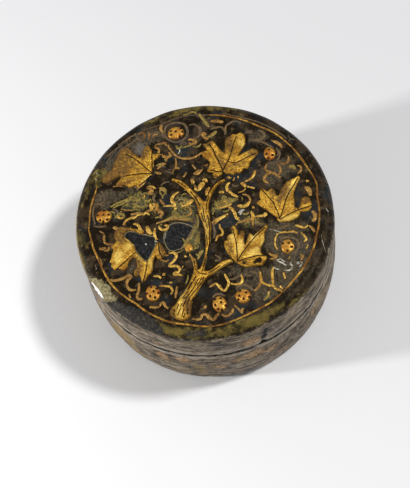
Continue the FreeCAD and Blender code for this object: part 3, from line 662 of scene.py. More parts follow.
def brushed_strokes(name, strokes, width, flat=0.45):
    """Raised brush strokes on the lid. Each is a weight and the points that it runs through."""
    line = bpy.data.curves.new(name, "CURVE")
    line.dimensions = "3D"
    line.resolution_u = 6
    line.bevel_resolution = 3
    line.bevel_depth = width / 2 * MM
    line.use_fill_caps = True
    for weight, points in strokes:
        stroke = line.splines.new("BEZIER")
        stroke.bezier_points.add(len(points) - 1)
        for order, (knot, (x, y)) in enumerate(zip(stroke.bezier_points, points)):
            knot.co = (x * MM, y * MM, 0)
            knot.handle_left_type = knot.handle_right_type = "AUTO"
            press = 1 + 0.5 * noise.noise(Vector((x, y, 0)) * 0.7)
            knot.radius = weight * press * (0.6 if order in (0, len(points) - 1) else 1.0)
    carrier = bpy.data.objects.new(name, line)
    bpy.context.scene.collection.objects.link(carrier)
    bpy.context.view_layer.update()
    mesh = bpy.data.meshes.new_from_object(carrier)
    bpy.data.objects.remove(carrier)
    shape = bmesh.new()
    shape.from_mesh(mesh)
    sunk, shake, shake_size = 0.06, 0.10, 0.7
    shifts = ((0, 0, 0), (31.4, 17.9, 5.3), (11.7, 47.1, 23.6))
    bmesh.ops.scale(shape, vec=(1, 1, flat), verts=shape.verts)
    bmesh.ops.translate(shape, vec=(0, 0, (top - sunk) * MM), verts=shape.verts)
    bmesh.ops.remove_doubles(shape, verts=shape.verts, dist=1e-7)
    bmesh.ops.recalc_face_normals(shape, faces=shape.faces)
    paint(shape, "edge", [1 - abs(point.normal.z) for point in shape.verts])
    for point in shape.verts:
        here = point.co / (shake_size * MM)
        point.co += Vector([noise.noise(here + Vector(shift)) for shift in shifts]) * shake * MM
        reach = math.hypot(point.co.x, point.co.y) / MM
        if reach > field_radius:
            lean = min((reach - field_radius) / shoulder, math.pi / 2)
            drop = max(0.0, reach - field_radius - shoulder * math.pi / 2)
            lift = shoulder + point.co.z / MM - top
            share = (field_radius + lift * math.sin(lean)) / reach
            height = top - shoulder + lift * math.cos(lean) - drop
            point.co = (point.co.x * share, point.co.y * share, height * MM)
    return shape


border_gold = stroke_gold(
    "border gold", (0.78, 0.43, 0.070), (0.20, 0.085, 0.018), metal=0.45, worn_span=(0.42, 0.58)
)
border_run = [
    (-40.3, 3.1), (-40.1, 1.1), (-39.9, -1.8), (-39.6, -4.5), (-38.9, -7.4), (-38.2, -10.3), (-37.3, -13.9),
    (-36.2, -17.1), (-34.2, -21.0), (-32.2, -23.7), (-27.8, -28.3), (-25.6, -30.9), (-23.2, -33.1),
    (-20.7, -35.0), (-17.9, -36.8), (-12.4, -38.8), (-6.8, -40.7), (-0.9, -41.2), (4.8, -40.3), (10.5, -38.8),
    (16.2, -36.9), (20.4, -34.5), (25.2, -30.9), (29.8, -26.8), (33.8, -21.8), (36.9, -15.7), (39.4, -8.7),
    (40.3, -0.8), (41.0, 3.0), (40.5, 6.4), (39.4, 9.8), (37.8, 14.4), (36.2, 18.4), (34.0, 22.1),
    (31.3, 25.8), (28.6, 28.4), (25.0, 31.1), (21.7, 33.7), (17.6, 36.0), (13.4, 37.9), (9.2, 39.1),
]
border_left = [
    (-34.9, 19.7), (-35.7, 17.6), (-36.8, 15.2), (-38.0, 12.5), (-38.9, 9.7), (-39.6, 6.1), (-40.3, 3.1),
]
border_faint = [
    (9.2, 39.1), (2.8, 40.4), (-3.2, 40.3), (-9.7, 38.9), (-14.8, 38.2), (-18.7, 36.9), (-22.0, 35.2),
    (-25.1, 33.1), (-28.0, 30.5), (-30.7, 27.7),
]
second_run = [
    (13.9, 38.7), (20.3, 35.5), (26.3, 31.9), (31.2, 27.5), (34.6, 23.3),
]
second_left = [
    (-16.4, 36.1), (-19.7, 34.2), (-22.1, 33.2), (-25.0, 31.7), (-27.1, 29.7),
]
border = brushed_strokes("gold border", [(1.0, border_run), (0.8, border_left)], width=0.74)
finished("border_line", border, border_gold, "lid", ["gold_border"])

faded_gold = stroke_gold(
    "faded gold", (0.21, 0.135, 0.065), (0.095, 0.070, 0.048), metal=0.10, worn_span=(0.44, 0.62)
)
second_strokes = [(1.0, second_run), (0.9, second_left), (0.7, border_faint)]
second = brushed_strokes("second border", second_strokes, width=0.6)
finished("second_border_line", second, faded_gold, "lid")


# ---------------------------------------------------------------- The leaves
# Each leaf is a pad of lacquer built up in layers, dusted with gold and polished. The veins are scratched
# through the gold to the black, and the lobes are rubbed where hands have held the lid.
def raised(
    outline, height, cuts=(), holes=(), edge=0.40, groove=0.22, deep=0.5, dome=0.0, cell=0.2,
    faded=(), painted_highlight=(),
):
    """A raised pad of lacquer with a free outline, cut by scratched lines, on a fine grid.

    Its edge rounds off over a width, or as far in as the dome. A groove has a half width, and a depth as a
    share of the height. What is painted on it: how near each point is to a scratched line (cut) and to the
    outline (rim), which way and how far it lies from the outline's first point (turn, reach), and its faded
    blots and its blots of painted highlight, where the gold is made paler to stand for light glinting on it.
    """
    corners = np.array(outline)
    low, high = corners.min(axis=0) - cell, corners.max(axis=0) + cell
    across, along = (int(size) for size in np.ceil((high - low) / cell))
    shape = bmesh.new()
    bmesh.ops.create_grid(shape, x_segments=across, y_segments=along, size=0.5)
    to_place = Matrix.Translation((*(low + high) / 2, 0)) @ Matrix.Diagonal((*(high - low), 1, 1))
    bmesh.ops.transform(shape, matrix=to_place, verts=shape.verts)
    spots = np.array([point.co.xy for point in shape.verts])
    keep = within(spots, outline)
    for hole in holes:
        keep &= ~within(spots, hole)
    outside = [point for point, kept in zip(shape.verts, keep) if not kept]
    bmesh.ops.delete(shape, geom=outside, context="VERTS")
    stray = [point for point in shape.verts if not point.link_faces]
    bmesh.ops.delete(shape, geom=stray, context="VERTS")
    spots = np.array([point.co.xy for point in shape.verts])
    depth, nearest = off_line(spots, outline, closed=True)
    for hole in holes:
        hole_depth, hole_nearest = off_line(spots, hole, closed=True)
        closer = hole_depth < depth
        depth[closer], nearest[closer] = hole_depth[closer], hole_nearest[closer]
    cut_near = np.full(len(spots), 1e9)
    for cut in cuts:
        cut_near = np.minimum(cut_near, off_line(spots, cut)[0])
    rim_dip, skirt_depth, scores = 0.10, 0.3, []
    for point, far, foot, near in zip(shape.verts, depth, nearest, cut_near):
        on_rim = point.is_boundary
        if on_rim:
            point.co.xy, far = foot, 0.0
        rise = min(far / edge, 1.0)
        rise = rise * rise * (3 - 2 * rise)
        score = math.exp(-((near / groove) ** 2))
        if dome:
            swell = math.sqrt(max(0.0, 1 - (1 - min(far / dome, 1.0)) ** 2))
        else:
            swell = rise * (0.80 + 0.20 * min(near / 1.2, 1.0))
        grain = (0.10 * noise.noise(point.co * 0.9) + 0.05 * noise.noise(point.co * 2.6)) * rise
        level = height * (swell - deep * score * rise + grain)
        point.co.z = top + max(level, 0.0) - (rim_dip if on_rim else 0.0)
        scores.append(score)
    away = spots - corners[0]
    paint(shape, "cut", scores)
    paint(shape, "rim", np.exp(-depth / 0.35))
    paint(shape, "turn", np.arctan2(away[:, 1], away[:, 0]))
    paint(shape, "reach", np.hypot(away[:, 0], away[:, 1]))
    paint(shape, "faded", blots(spots, faded))
    paint(shape, "painted_highlight", blots(spots, painted_highlight))
    border = [edge for edge in shape.edges if edge.is_boundary]
    skirt = bmesh.ops.extrude_edge_only(shape, edges=border)["geom"]
    for point in skirt:
        if isinstance(point, bmesh.types.BMVert):
            point.co.z = top - skirt_depth
    bmesh.ops.edgeloop_fill(shape, edges=[edge for edge in shape.edges if edge.is_boundary])
    bmesh.ops.scale(shape, vec=(MM, MM, MM), verts=shape.verts)
    bmesh.ops.recalc_face_normals(shape, faces=shape.faces)
    return shape


leaf_gold, finish, surface, place, colour, wear = gold_finish(
    "gold of the leaves", (1.0, 0.58, 0.075), (0.29, 0.115, 0.012), metal=0.55, worn_span=(0.47, 0.68)
)
bearing = finish.math("MULTIPLY", finish.painted("turn"), 9.0)
reach = finish.math("MULTIPLY", finish.painted("reach"), 0.12)
ray = finish.add("CombineXYZ", {0: bearing, 1: reach}).outputs[0]
fibres = finish.cloud(ray, 0.8, detail=4.0, rough=0.65)
colour = finish.lay(colour, finish.step(fibres, 0.47, 0.60), 0.75, (0.27, 0.115, 0.014))
crumbs = finish.cloud(place, 1.1, detail=5.0, rough=0.7)
# Painted highlight: a pale gold laid over the highlight blots, for light glinting on the raised gold.
painted_highlight = finish.patches("painted_highlight", crumbs, 2.4, soft=0.35)
colour = finish.lay(colour, painted_highlight, 0.65, (1.0, 0.72, 0.17))
faded = finish.patches("faded", crumbs, 2.8, soft=0.45)
rubbed_thin = finish.blend(finish.step(crumbs, 0.40, 0.60), (0.23, 0.115, 0.030), (0.085, 0.052, 0.028))
colour = finish.lay(colour, faded, 0.85, rubbed_thin)
specks = finish.step(finish.cloud(place, 0.55, detail=4.0, rough=0.7), 0.57, 0.66)
colour = finish.lay(colour, specks, 0.65, (0.085, 0.045, 0.014))
# Painted shade: the gold darkens to brown along each outline, for shade on the sloping edges of the lobes.
rim = finish.painted("rim")
colour = finish.lay(colour, rim, 0.8, (0.14, 0.058, 0.010))
cut = finish.painted("cut")
colour = finish.blend(finish.step(cut, 0.25, 0.70), colour, (0.012, 0.009, 0.006))
fine = finish.cloud(place, 0.35, detail=3.0)
bumps = finish.math("ADD", fine, finish.math("ADD", fibres, crumbs))
dull = finish.math("MAXIMUM", wear, faded)
coat(finish, surface, colour, dull, low=0.34, high=0.72, height=bumps, depth=0.16)

# For each leaf: the solid that it replaces, its outline from the stalk round its lobes, its veins, the
# holes worn through it, and the ovals where it is faded and where a highlight is painted on its gold.
leaves = {
    "leaf_upper_left": (
        "gold_leaf_upper_left",
        [
            (-14.9, 19.6), (-15.6, 18.7), (-17.0, 17.8), (-18.4, 16.8), (-19.4, 16.2), (-20.8, 15.3),
            (-21.3, 16.3), (-22.1, 16.6), (-22.8, 16.1), (-23.9, 16.1), (-24.5, 17.1), (-25.9, 17.7),
            (-27.2, 17.7), (-28.5, 18.4), (-28.0, 19.1), (-26.6, 20.5), (-26.2, 21.4), (-28.3, 20.7),
            (-30.4, 19.6), (-32.7, 20.1), (-32.7, 22.2), (-30.8, 23.8), (-28.8, 24.7), (-28.0, 26.7),
            (-26.7, 28.7), (-25.4, 30.8), (-24.3, 32.3), (-21.8, 32.5), (-20.9, 31.2), (-20.2, 29.7),
            (-18.9, 28.1), (-18.2, 27.2), (-17.6, 28.5), (-16.5, 30.5), (-15.2, 32.0), (-14.3, 31.4),
            (-13.7, 30.0), (-13.2, 27.9), (-12.7, 27.7), (-11.5, 27.6), (-10.7, 27.1), (-11.4, 26.0),
            (-12.6, 25.5), (-13.5, 24.9), (-13.8, 23.2), (-14.3, 21.4),
        ],
        [
            [(-14.7, 19.9), (-16.8, 22.7), (-18.9, 25.9), (-21.1, 28.2), (-23.0, 29.8)],
            [(-14.9, 19.9), (-18.5, 20.7), (-21.6, 21.0), (-25.2, 21.1)],
            [(-14.7, 20.0), (-14.4, 23.3), (-13.8, 27.5), (-13.4, 30.0)],
            [(-15.1, 19.4), (-18.0, 17.6), (-20.4, 16.1)],
        ],
        [],
        [
            (-27.2, 25.0, 5.4, 5.0, 20), (-23.0, 30.0, 3.4, 3.0, 30), (-16.6, 29.4, 2.0, 3.0, 0),
            (-31.6, 20.6, 3.2, 2.4, 0), (-30.0, 23.0, 2.8, 2.8, 0), (-21.0, 25.0, 0.8, 2.6, 30),
            (-24.6, 18.6, 2.6, 0.7, 10),
        ],
        [(-17.4, 18.0, 1.6, 0.6, 40)],
    ),
    "leaf_top": (
        "gold_leaf_top",
        [
            (9.9, 15.1), (9.1, 14.0), (8.0, 13.5), (6.7, 13.9), (5.6, 15.1), (6.6, 15.5), (4.6, 16.2),
            (4.2, 16.9), (5.0, 17.9), (5.6, 18.9), (5.9, 20.2), (4.9, 21.4), (4.0, 22.6), (3.4, 24.1),
            (4.5, 24.8), (5.7, 25.1), (5.0, 26.7), (4.5, 28.2), (6.1, 27.7), (7.0, 28.3), (8.5, 28.4),
            (9.2, 27.2), (10.0, 25.5), (10.9, 23.6), (11.7, 22.6), (12.3, 24.6), (12.6, 26.9), (13.6, 28.5),
            (14.9, 28.9), (15.9, 29.5), (17.3, 29.0), (18.7, 29.6), (20.0, 28.6), (20.2, 26.7), (19.6, 24.2),
            (17.8, 22.0), (16.2, 20.3), (18.0, 21.0), (20.0, 21.6), (21.9, 22.3), (23.4, 21.2), (23.7, 19.6),
            (22.5, 18.7), (21.5, 17.9), (20.2, 17.0), (19.4, 15.4), (18.6, 14.2), (17.4, 14.7), (16.5, 13.9),
            (15.6, 13.2), (14.3, 13.8), (13.4, 12.9), (12.3, 13.6), (11.1, 14.0),
        ],
        [
            [(9.9, 15.4), (9.4, 17.9), (8.6, 21.3), (8.0, 24.7), (6.9, 27.2)],
            [(10.1, 15.8), (11.6, 18.1), (12.7, 19.5), (14.5, 22.9), (16.2, 26.7), (17.1, 28.1)],
            [(12.4, 18.7), (14.7, 17.6), (17.2, 18.2), (20.0, 19.3), (22.6, 19.8)],
            [(9.7, 15.2), (7.8, 15.6), (5.6, 16.7)],
        ],
        [],
        [
            (22.2, 20.1, 1.9, 1.6, 0), (13.9, 25.8, 1.7, 4.0, 0), (6.0, 27.4, 1.8, 1.6, 0),
            (10.0, 19.0, 1.0, 3.4, 20), (14.6, 16.4, 2.6, 0.8, 10),
        ],
        [(18.6, 24.0, 0.9, 3.0, 15)],
    ),
    "leaf_right": (
        "gold_leaf_right",
        [
            (24.3, -7.2), (25.0, -6.8), (24.3, -5.9), (23.5, -4.9), (21.9, -3.0), (20.4, -1.4), (19.4, -0.2),
            (18.9, 0.7), (19.6, 1.4), (20.6, 1.5), (20.4, 2.9), (20.7, 4.3), (21.3, 5.5), (22.3, 5.9),
            (23.5, 4.3), (24.5, 4.8), (25.6, 5.3), (26.3, 4.0), (26.4, 2.0), (27.1, 1.9), (28.4, 3.9),
            (29.8, 5.5), (31.0, 6.6), (32.4, 7.0), (33.9, 7.3), (35.5, 8.2), (36.0, 6.8), (34.8, 5.2),
            (33.8, 3.7), (32.7, 1.8), (32.3, 0.0), (32.2, -1.6), (31.8, -3.7), (32.8, -4.6), (33.9, -2.9),
            (34.5, -1.1), (35.9, -0.5), (37.3, -1.1), (37.9, -3.2), (37.7, -4.4), (37.4, -5.4), (36.2, -6.4),
            (34.6, -6.4), (33.2, -6.1), (32.8, -7.3), (32.0, -8.0), (30.5, -8.6), (28.9, -9.0), (27.3, -8.8),
            (25.7, -8.5),
        ],
        [
            [(25.6, -7.2), (25.6, -4.9), (25.2, -2.7), (24.7, -0.4), (23.8, 1.4), (22.6, 3.9), (21.8, 5.3)],
            [(25.8, -7.0), (26.5, -5.8), (27.7, -3.7), (28.6, -1.8), (29.2, -0.5), (30.8, 1.9), (32.9, 4.3),
                (34.9, 6.8)],
            [(25.9, -7.4), (27.9, -6.6), (30.8, -5.7), (33.8, -5.0), (37.3, -4.6)],
        ],
        [],
        [
            (29.0, 2.6, 1.5, 4.6, -35), (25.2, 3.4, 0.9, 2.2, 0), (36.4, -2.0, 1.6, 1.8, 0),
            (32.6, -3.6, 1.0, 1.4, 0),
        ],
        [(28.8, -7.6, 3.2, 0.9, 0), (32.4, 4.4, 0.9, 3.4, -35)],
    ),
    "leaf_centre": (
        "gold_leaf_centre",
        [
            (7.5, -19.7), (6.5, -17.9), (5.5, -15.9), (4.9, -13.5), (5.2, -11.3), (6.4, -11.0), (6.6, -9.6),
            (8.6, -8.8), (8.6, -6.9), (9.4, -5.6), (10.3, -6.9), (10.7, -8.4), (10.4, -10.1), (11.0, -9.7),
            (11.4, -8.6), (12.5, -8.6), (12.9, -9.7), (12.4, -11.4), (12.0, -13.0), (12.1, -14.2),
            (12.9, -12.8), (13.5, -11.3), (14.3, -10.1), (15.0, -10.3), (15.6, -11.4), (16.7, -10.7),
            (18.1, -9.8), (19.4, -9.1), (20.5, -8.1), (21.4, -8.8), (20.6, -10.2), (19.7, -11.1),
            (19.4, -12.2), (19.1, -14.1), (18.0, -15.5), (17.1, -16.6), (16.9, -17.7), (17.2, -18.9),
            (18.7, -19.8), (18.4, -21.2), (17.3, -22.3), (16.4, -23.1), (15.0, -22.8), (13.0, -22.8),
            (11.1, -22.7), (9.4, -21.8), (8.3, -20.7),
        ],
        [
            [(8.3, -19.7), (8.8, -17.0), (9.3, -12.8), (9.2, -9.6), (9.1, -7.4)],
            [(8.6, -19.4), (10.9, -16.8), (13.8, -14.0), (16.7, -11.5), (20.0, -9.5)],
            [(8.5, -19.9), (10.1, -19.6), (12.3, -19.4), (15.4, -19.2), (18.4, -19.8)],
        ],
        [
            [(13.7, -21.4), (14.9, -20.3), (16.4, -20.1), (16.7, -20.8), (16.0, -21.9), (15.0, -21.5),
                (14.0, -21.8)],
            [(10.0, -20.5), (11.0, -20.7), (10.7, -21.2), (10.2, -21.0)],
        ],
        [(12.0, -9.8, 0.9, 1.8, 0), (10.8, -20.6, 1.0, 0.8, 0), (6.6, -14.0, 0.7, 2.4, 0)],
        [
            (18.1, -15.4, 1.0, 2.6, -20), (10.4, -14.6, 1.5, 2.8, -30), (14.8, -17.6, 3.0, 1.2, 12),
            (8.2, -10.6, 0.8, 1.8, 0), (15.6, -12.0, 1.2, 2.2, -30),
        ],
    ),
    "leaf_lower_left": (
        "gold_leaf_lower_left",
        [
            (-17.2, -6.2), (-18.4, -8.2), (-19.6, -9.9), (-20.7, -11.6), (-22.0, -13.0), (-22.9, -12.7),
            (-23.7, -11.4), (-24.5, -10.1), (-25.2, -8.6), (-25.4, -6.6), (-26.4, -5.2), (-27.8, -3.9),
            (-28.7, -2.7), (-28.4, -1.6), (-27.7, -0.6), (-26.2, -0.4), (-24.3, -1.2), (-22.7, -2.4),
            (-21.4, -3.0), (-21.6, -1.6), (-22.8, -0.6), (-24.2, 0.1), (-25.8, 0.9), (-27.4, 1.2),
            (-28.8, 1.9), (-30.4, 1.7), (-31.4, 0.5), (-32.1, -1.4), (-31.5, -3.2), (-32.7, -4.4),
            (-33.8, -5.0), (-33.0, -6.1), (-33.2, -7.0), (-33.7, -7.8), (-33.9, -8.6), (-34.6, -10.1),
            (-35.1, -10.8), (-34.3, -11.2), (-34.7, -12.4), (-34.0, -13.5), (-33.3, -14.4), (-32.5, -13.8),
            (-31.5, -14.2), (-30.7, -15.0), (-29.8, -14.8), (-28.9, -14.0), (-28.6, -12.7), (-27.5, -11.3),
            (-26.4, -10.8), (-25.8, -11.1), (-25.7, -12.6), (-25.9, -14.5), (-27.1, -15.6), (-27.3, -16.7),
            (-27.1, -17.9), (-26.2, -18.2), (-25.5, -17.5), (-25.2, -19.0), (-24.9, -21.6), (-24.1, -20.5),
            (-23.4, -20.0), (-22.6, -18.7), (-21.5, -18.1), (-20.6, -16.9), (-20.3, -14.9), (-19.6, -13.0),
            (-18.9, -12.0), (-18.3, -13.3), (-17.3, -13.7), (-16.3, -13.1), (-15.5, -12.1), (-15.0, -11.4),
            (-15.7, -9.0), (-16.4, -7.6),
        ],
        [
            [(-25.5, -9.0), (-28.4, -11.0), (-31.4, -13.0), (-33.1, -14.0)],
            [(-22.0, -13.2), (-22.9, -16.3), (-24.0, -19.0), (-24.8, -21.1)],
            [(-17.2, -7.2), (-17.2, -10.8), (-16.7, -13.1)],
        ],
        [],
        [
            (-29.4, -1.6, 3.0, 3.4, 0), (-24.2, 0.4, 3.0, 1.0, 10), (-25.8, -15.4, 1.5, 4.0, -10),
            (-16.4, -10.4, 1.1, 3.4, 0),
        ],
        [
            (-24.0, -11.0, 0.8, 2.4, 25), (-26.6, -5.6, 0.9, 2.8, -55), (-31.6, -9.6, 1.6, 2.4, -30),
            (-20.6, -14.6, 0.8, 2.6, 10),
        ],
    ),
}
for name, (node, outline, veins, holes, faded, painted_highlight) in leaves.items():
    pad = raised(outline, height=0.5, cuts=veins, holes=holes, faded=faded, painted_highlight=painted_highlight)
    finished(name, pad, leaf_gold, "lid", [node])


# ---------------------------------------------------------------- The trunk
# The highest of the gold work: a twisted trunk that rises from the border line and forks into a stem with
# two boughs, and a low branch. Long scratches through the gold stand for its bark.
trunk_outline = [
    (-17.6, -34.4), (-17.3, -32.4), (-16.3, -31.4), (-15.3, -31.0), (-14.6, -30.2), (-13.8, -29.2),
    (-13.0, -28.2), (-12.0, -27.4), (-10.7, -25.8), (-9.4, -24.3), (-8.2, -22.4), (-7.3, -20.9),
    (-6.9, -19.4), (-6.7, -17.6), (-6.4, -15.4), (-5.8, -15.0), (-5.4, -15.8), (-5.2, -17.8), (-5.4, -19.8),
    (-4.7, -19.6), (-3.6, -18.0), (-2.6, -15.9), (-1.8, -13.7), (-1.2, -11.1), (-0.8, -8.3), (-0.6, -5.4),
    (-0.8, -2.7), (-1.5, 0.2), (-1.6, 2.2), (-1.7, 4.4), (-2.1, 6.7), (-3.2, 9.0), (-4.7, 11.3), (-6.4, 13.8),
    (-8.7, 15.8), (-8.2, 16.8), (-5.5, 15.3), (-3.4, 12.9), (-1.9, 10.5), (-0.6, 8.5), (0.5, 6.4), (1.2, 5.4),
    (1.8, 5.4), (2.7, 7.0), (4.2, 9.1), (6.0, 10.9), (7.9, 12.0), (10.1, 12.4), (10.2, 11.3), (8.2, 10.9),
    (6.7, 9.9), (5.2, 8.2), (3.8, 6.1), (2.9, 4.1), (2.4, 2.1), (2.3, 0.1), (2.0, -2.8), (2.1, -5.0),
    (1.6, -6.9), (1.0, -9.8), (0.3, -12.1), (-0.6, -14.5), (-1.8, -16.9), (-2.7, -18.9), (-3.1, -20.7),
    (-1.8, -21.0), (-0.3, -20.5), (1.1, -19.5), (3.3, -18.5), (5.9, -18.2), (6.6, -18.7), (7.2, -19.8),
    (5.5, -20.0), (3.6, -20.7), (1.4, -21.7), (-0.4, -22.7), (-2.4, -23.4), (-4.2, -24.8), (-5.9, -26.9),
    (-7.1, -28.4), (-8.3, -29.7), (-9.4, -31.6), (-10.2, -34.0), (-10.7, -36.4), (-12.3, -37.2),
    (-14.0, -37.2), (-15.6, -36.5), (-16.5, -35.3),
]
bark = [
    [(-13.6, -32.7), (-14.2, -33.7), (-15.1, -35.0)], [(-12.5, -33.2), (-13.6, -35.4)],
    [(-12.5, -35.0), (-13.4, -36.4)], [(-14.0, -31.3), (-14.9, -32.7)], [(-12.8, -31.1), (-13.5, -32.1)],
    [(-12.0, -31.1), (-12.7, -32.3)], [(-11.1, -33.2), (-11.7, -35.4)], [(-15.6, -32.6), (-16.3, -34.7)],
    [(-6.4, -22.3), (-8.2, -24.5), (-9.6, -26.2)],
    [(-5.6, -23.2), (-7.6, -25.9), (-10.2, -28.7), (-11.6, -29.6)],
    [(-3.9, -23.3), (-5.7, -25.8), (-8.2, -28.0), (-9.9, -29.4)], [(-4.7, -23.4), (-6.5, -25.7)],
    [(-8.4, -24.1), (-10.1, -26.7)], [(-10.3, -27.3), (-12.4, -29.3)], [(-8.0, -29.4), (-9.6, -31.0)],
    [(-10.0, -29.9), (-11.2, -31.7)], [(-11.2, -30.3), (-12.2, -31.5)],
    [(-2.8, -22.4), (-5.0, -21.5), (-6.2, -19.7)], [(-2.0, -22.0), (-0.1, -21.4), (2.3, -20.3)],
    [(-6.1, -16.4), (-6.2, -19.0)], [(-4.0, -20.7), (-3.1, -18.7), (-2.1, -16.3)],
    [(1.5, -0.5), (1.5, -4.0), (1.0, -7.0), (0.1, -11.5), (-1.4, -15.5)],
    [(0.4, 3.0), (0.2, -1.5), (0.5, -5.2)], [(-0.6, 0.8), (-0.2, -2.9)], [(-0.2, -8.0), (-0.6, -11.6)],
    [(-0.5, 3.8), (-1.2, 6.7), (-3.0, 10.0)], [(1.3, 1.7), (2.1, 4.4), (3.4, 6.8)],
    [(-4.2, 12.2), (-6.3, 14.5)],
]
trunk = raised(
    trunk_outline, height=0.75, cuts=bark, edge=0.6, groove=0.19, deep=0.4,
    faded=[
        (-10.6, -32.6, 1.5, 4.6, 5), (-16.9, -33.0, 1.5, 3.4, -10), (-15.4, -29.2, 0.8, 2.4, -25),
        (1.4, -8.2, 0.6, 5.0, 5), (-1.2, 6.0, 0.6, 4.0, 10),
    ],
    # Painted highlight: ovals where the trunk's gold is made paler, for light glinting on it.
    painted_highlight=[
        (-13.9, -32.8, 1.0, 3.0, -15), (-12.0, -27.4, 0.9, 3.0, -25), (-9.0, -21.8, 0.9, 3.2, -30),
        (0.2, -4.0, 0.5, 4.0, 0), (3.4, -20.8, 3.2, 0.5, 25),
    ],
)
finished("vine_trunk", trunk, leaf_gold, "lid", ["gold_trunk"])


# ---------------------------------------------------------------- The berries
# Small domes of lacquer with an orange tint under their gold, each pricked with a few dark dots. One more
# boss, without dots, sits beside the worn hollow.
berry_gold, finish, surface, place, colour, wear = gold_finish(
    "orange gold of the berries", (0.88, 0.49, 0.080), (0.40, 0.13, 0.018), metal=0.45,
    worn_span=(0.47, 0.65),
)
cut = finish.painted("cut")
# Painted shade: the gold darkens to brown round the edge of each dome, for shade at its foot.
colour = finish.lay(colour, finish.painted("rim"), 0.8, (0.14, 0.055, 0.014))
ragged_cut = finish.math("ADD", cut, finish.math("MULTIPLY", finish.cloud(place, 0.5, detail=4.0), 0.5))
colour = finish.blend(finish.step(ragged_cut, 0.40, 0.66), colour, (0.040, 0.012, 0.006))
fine = finish.cloud(place, 0.5, detail=4.0)
coat(finish, surface, colour, dull=wear, low=0.32, high=0.55, height=fine, depth=0.08)

# For each berry: its middle, its two half widths, and its dots, measured from its middle.
berries = [
    (-3.9, 34.3, 3.1, 2.6, [(0.0, 0.3), (2.4, -0.1), (-1.8, -0.6), (1.1, -1.9), (1.9, 1.2), (-1.6, 1.0)]),
    (27.3, 18.6, 2.15, 2.7, [(0.9, -1.0), (-0.7, -1.8), (0.1, 1.5), (-1.1, 0.0)]),
    (
        -34.3, 7.0, 2.9, 2.65,
        [(-2.0, 0.8), (0.0, 0.4), (-1.4, -1.4), (-0.4, -2.2), (1.0, -1.7), (0.4, 2.0), (1.8, 0.2)],
    ),
    (26.2, -18.0, 2.35, 2.75, [(-1.4, 1.4), (0.6, 1.1), (-0.4, -1.7), (1.3, -0.6)]),
    (
        -22.0, -25.3, 2.6, 3.0,
        [(-0.2, 2.3), (-2.0, 0.3), (0.4, 0.5), (-1.0, -1.0), (0.5, -1.9), (1.6, 1.4), (2.0, -0.3)],
    ),
    (
        -0.4, -33.9, 2.5, 2.9,
        [(-1.2, 1.9), (-1.5, -0.2), (0.5, 0.3), (2.0, -1.1), (0.3, -2.4), (0.7, 1.9), (-0.8, -1.9)],
    ),
    (7.9, -32.7, 2.7, 2.7, [(-0.7, 1.9), (1.1, 0.9), (-1.3, 0.2), (-0.1, -1.2), (2.0, -1.0), (-1.8, -1.1)]),
    (-7.1, -11.2, 1.5, 1.7, []),
]
corners = 28
for number, (x, y, wide, tall, dots) in enumerate(berries, start=1):
    round_run = []
    for corner in range(corners):
        angle = math.tau * corner / corners
        uneven = 1 + 0.07 * noise.noise(Vector((math.cos(angle) * 1.3, math.sin(angle) * 1.3, number)))
        round_run.append((x + wide * uneven * math.cos(angle), y + tall * uneven * math.sin(angle)))
    pricks = [[(x + dx, y + dy)] for dx, dy in dots]
    height = 0.95 if dots else 0.6
    boss = raised(round_run, height, cuts=pricks, edge=0.3, groove=0.42, deep=0.45, dome=tall, cell=0.16)
    finished(f"berry_{number}", boss, berry_gold, "lid", [f"gold_berry_{number}"])
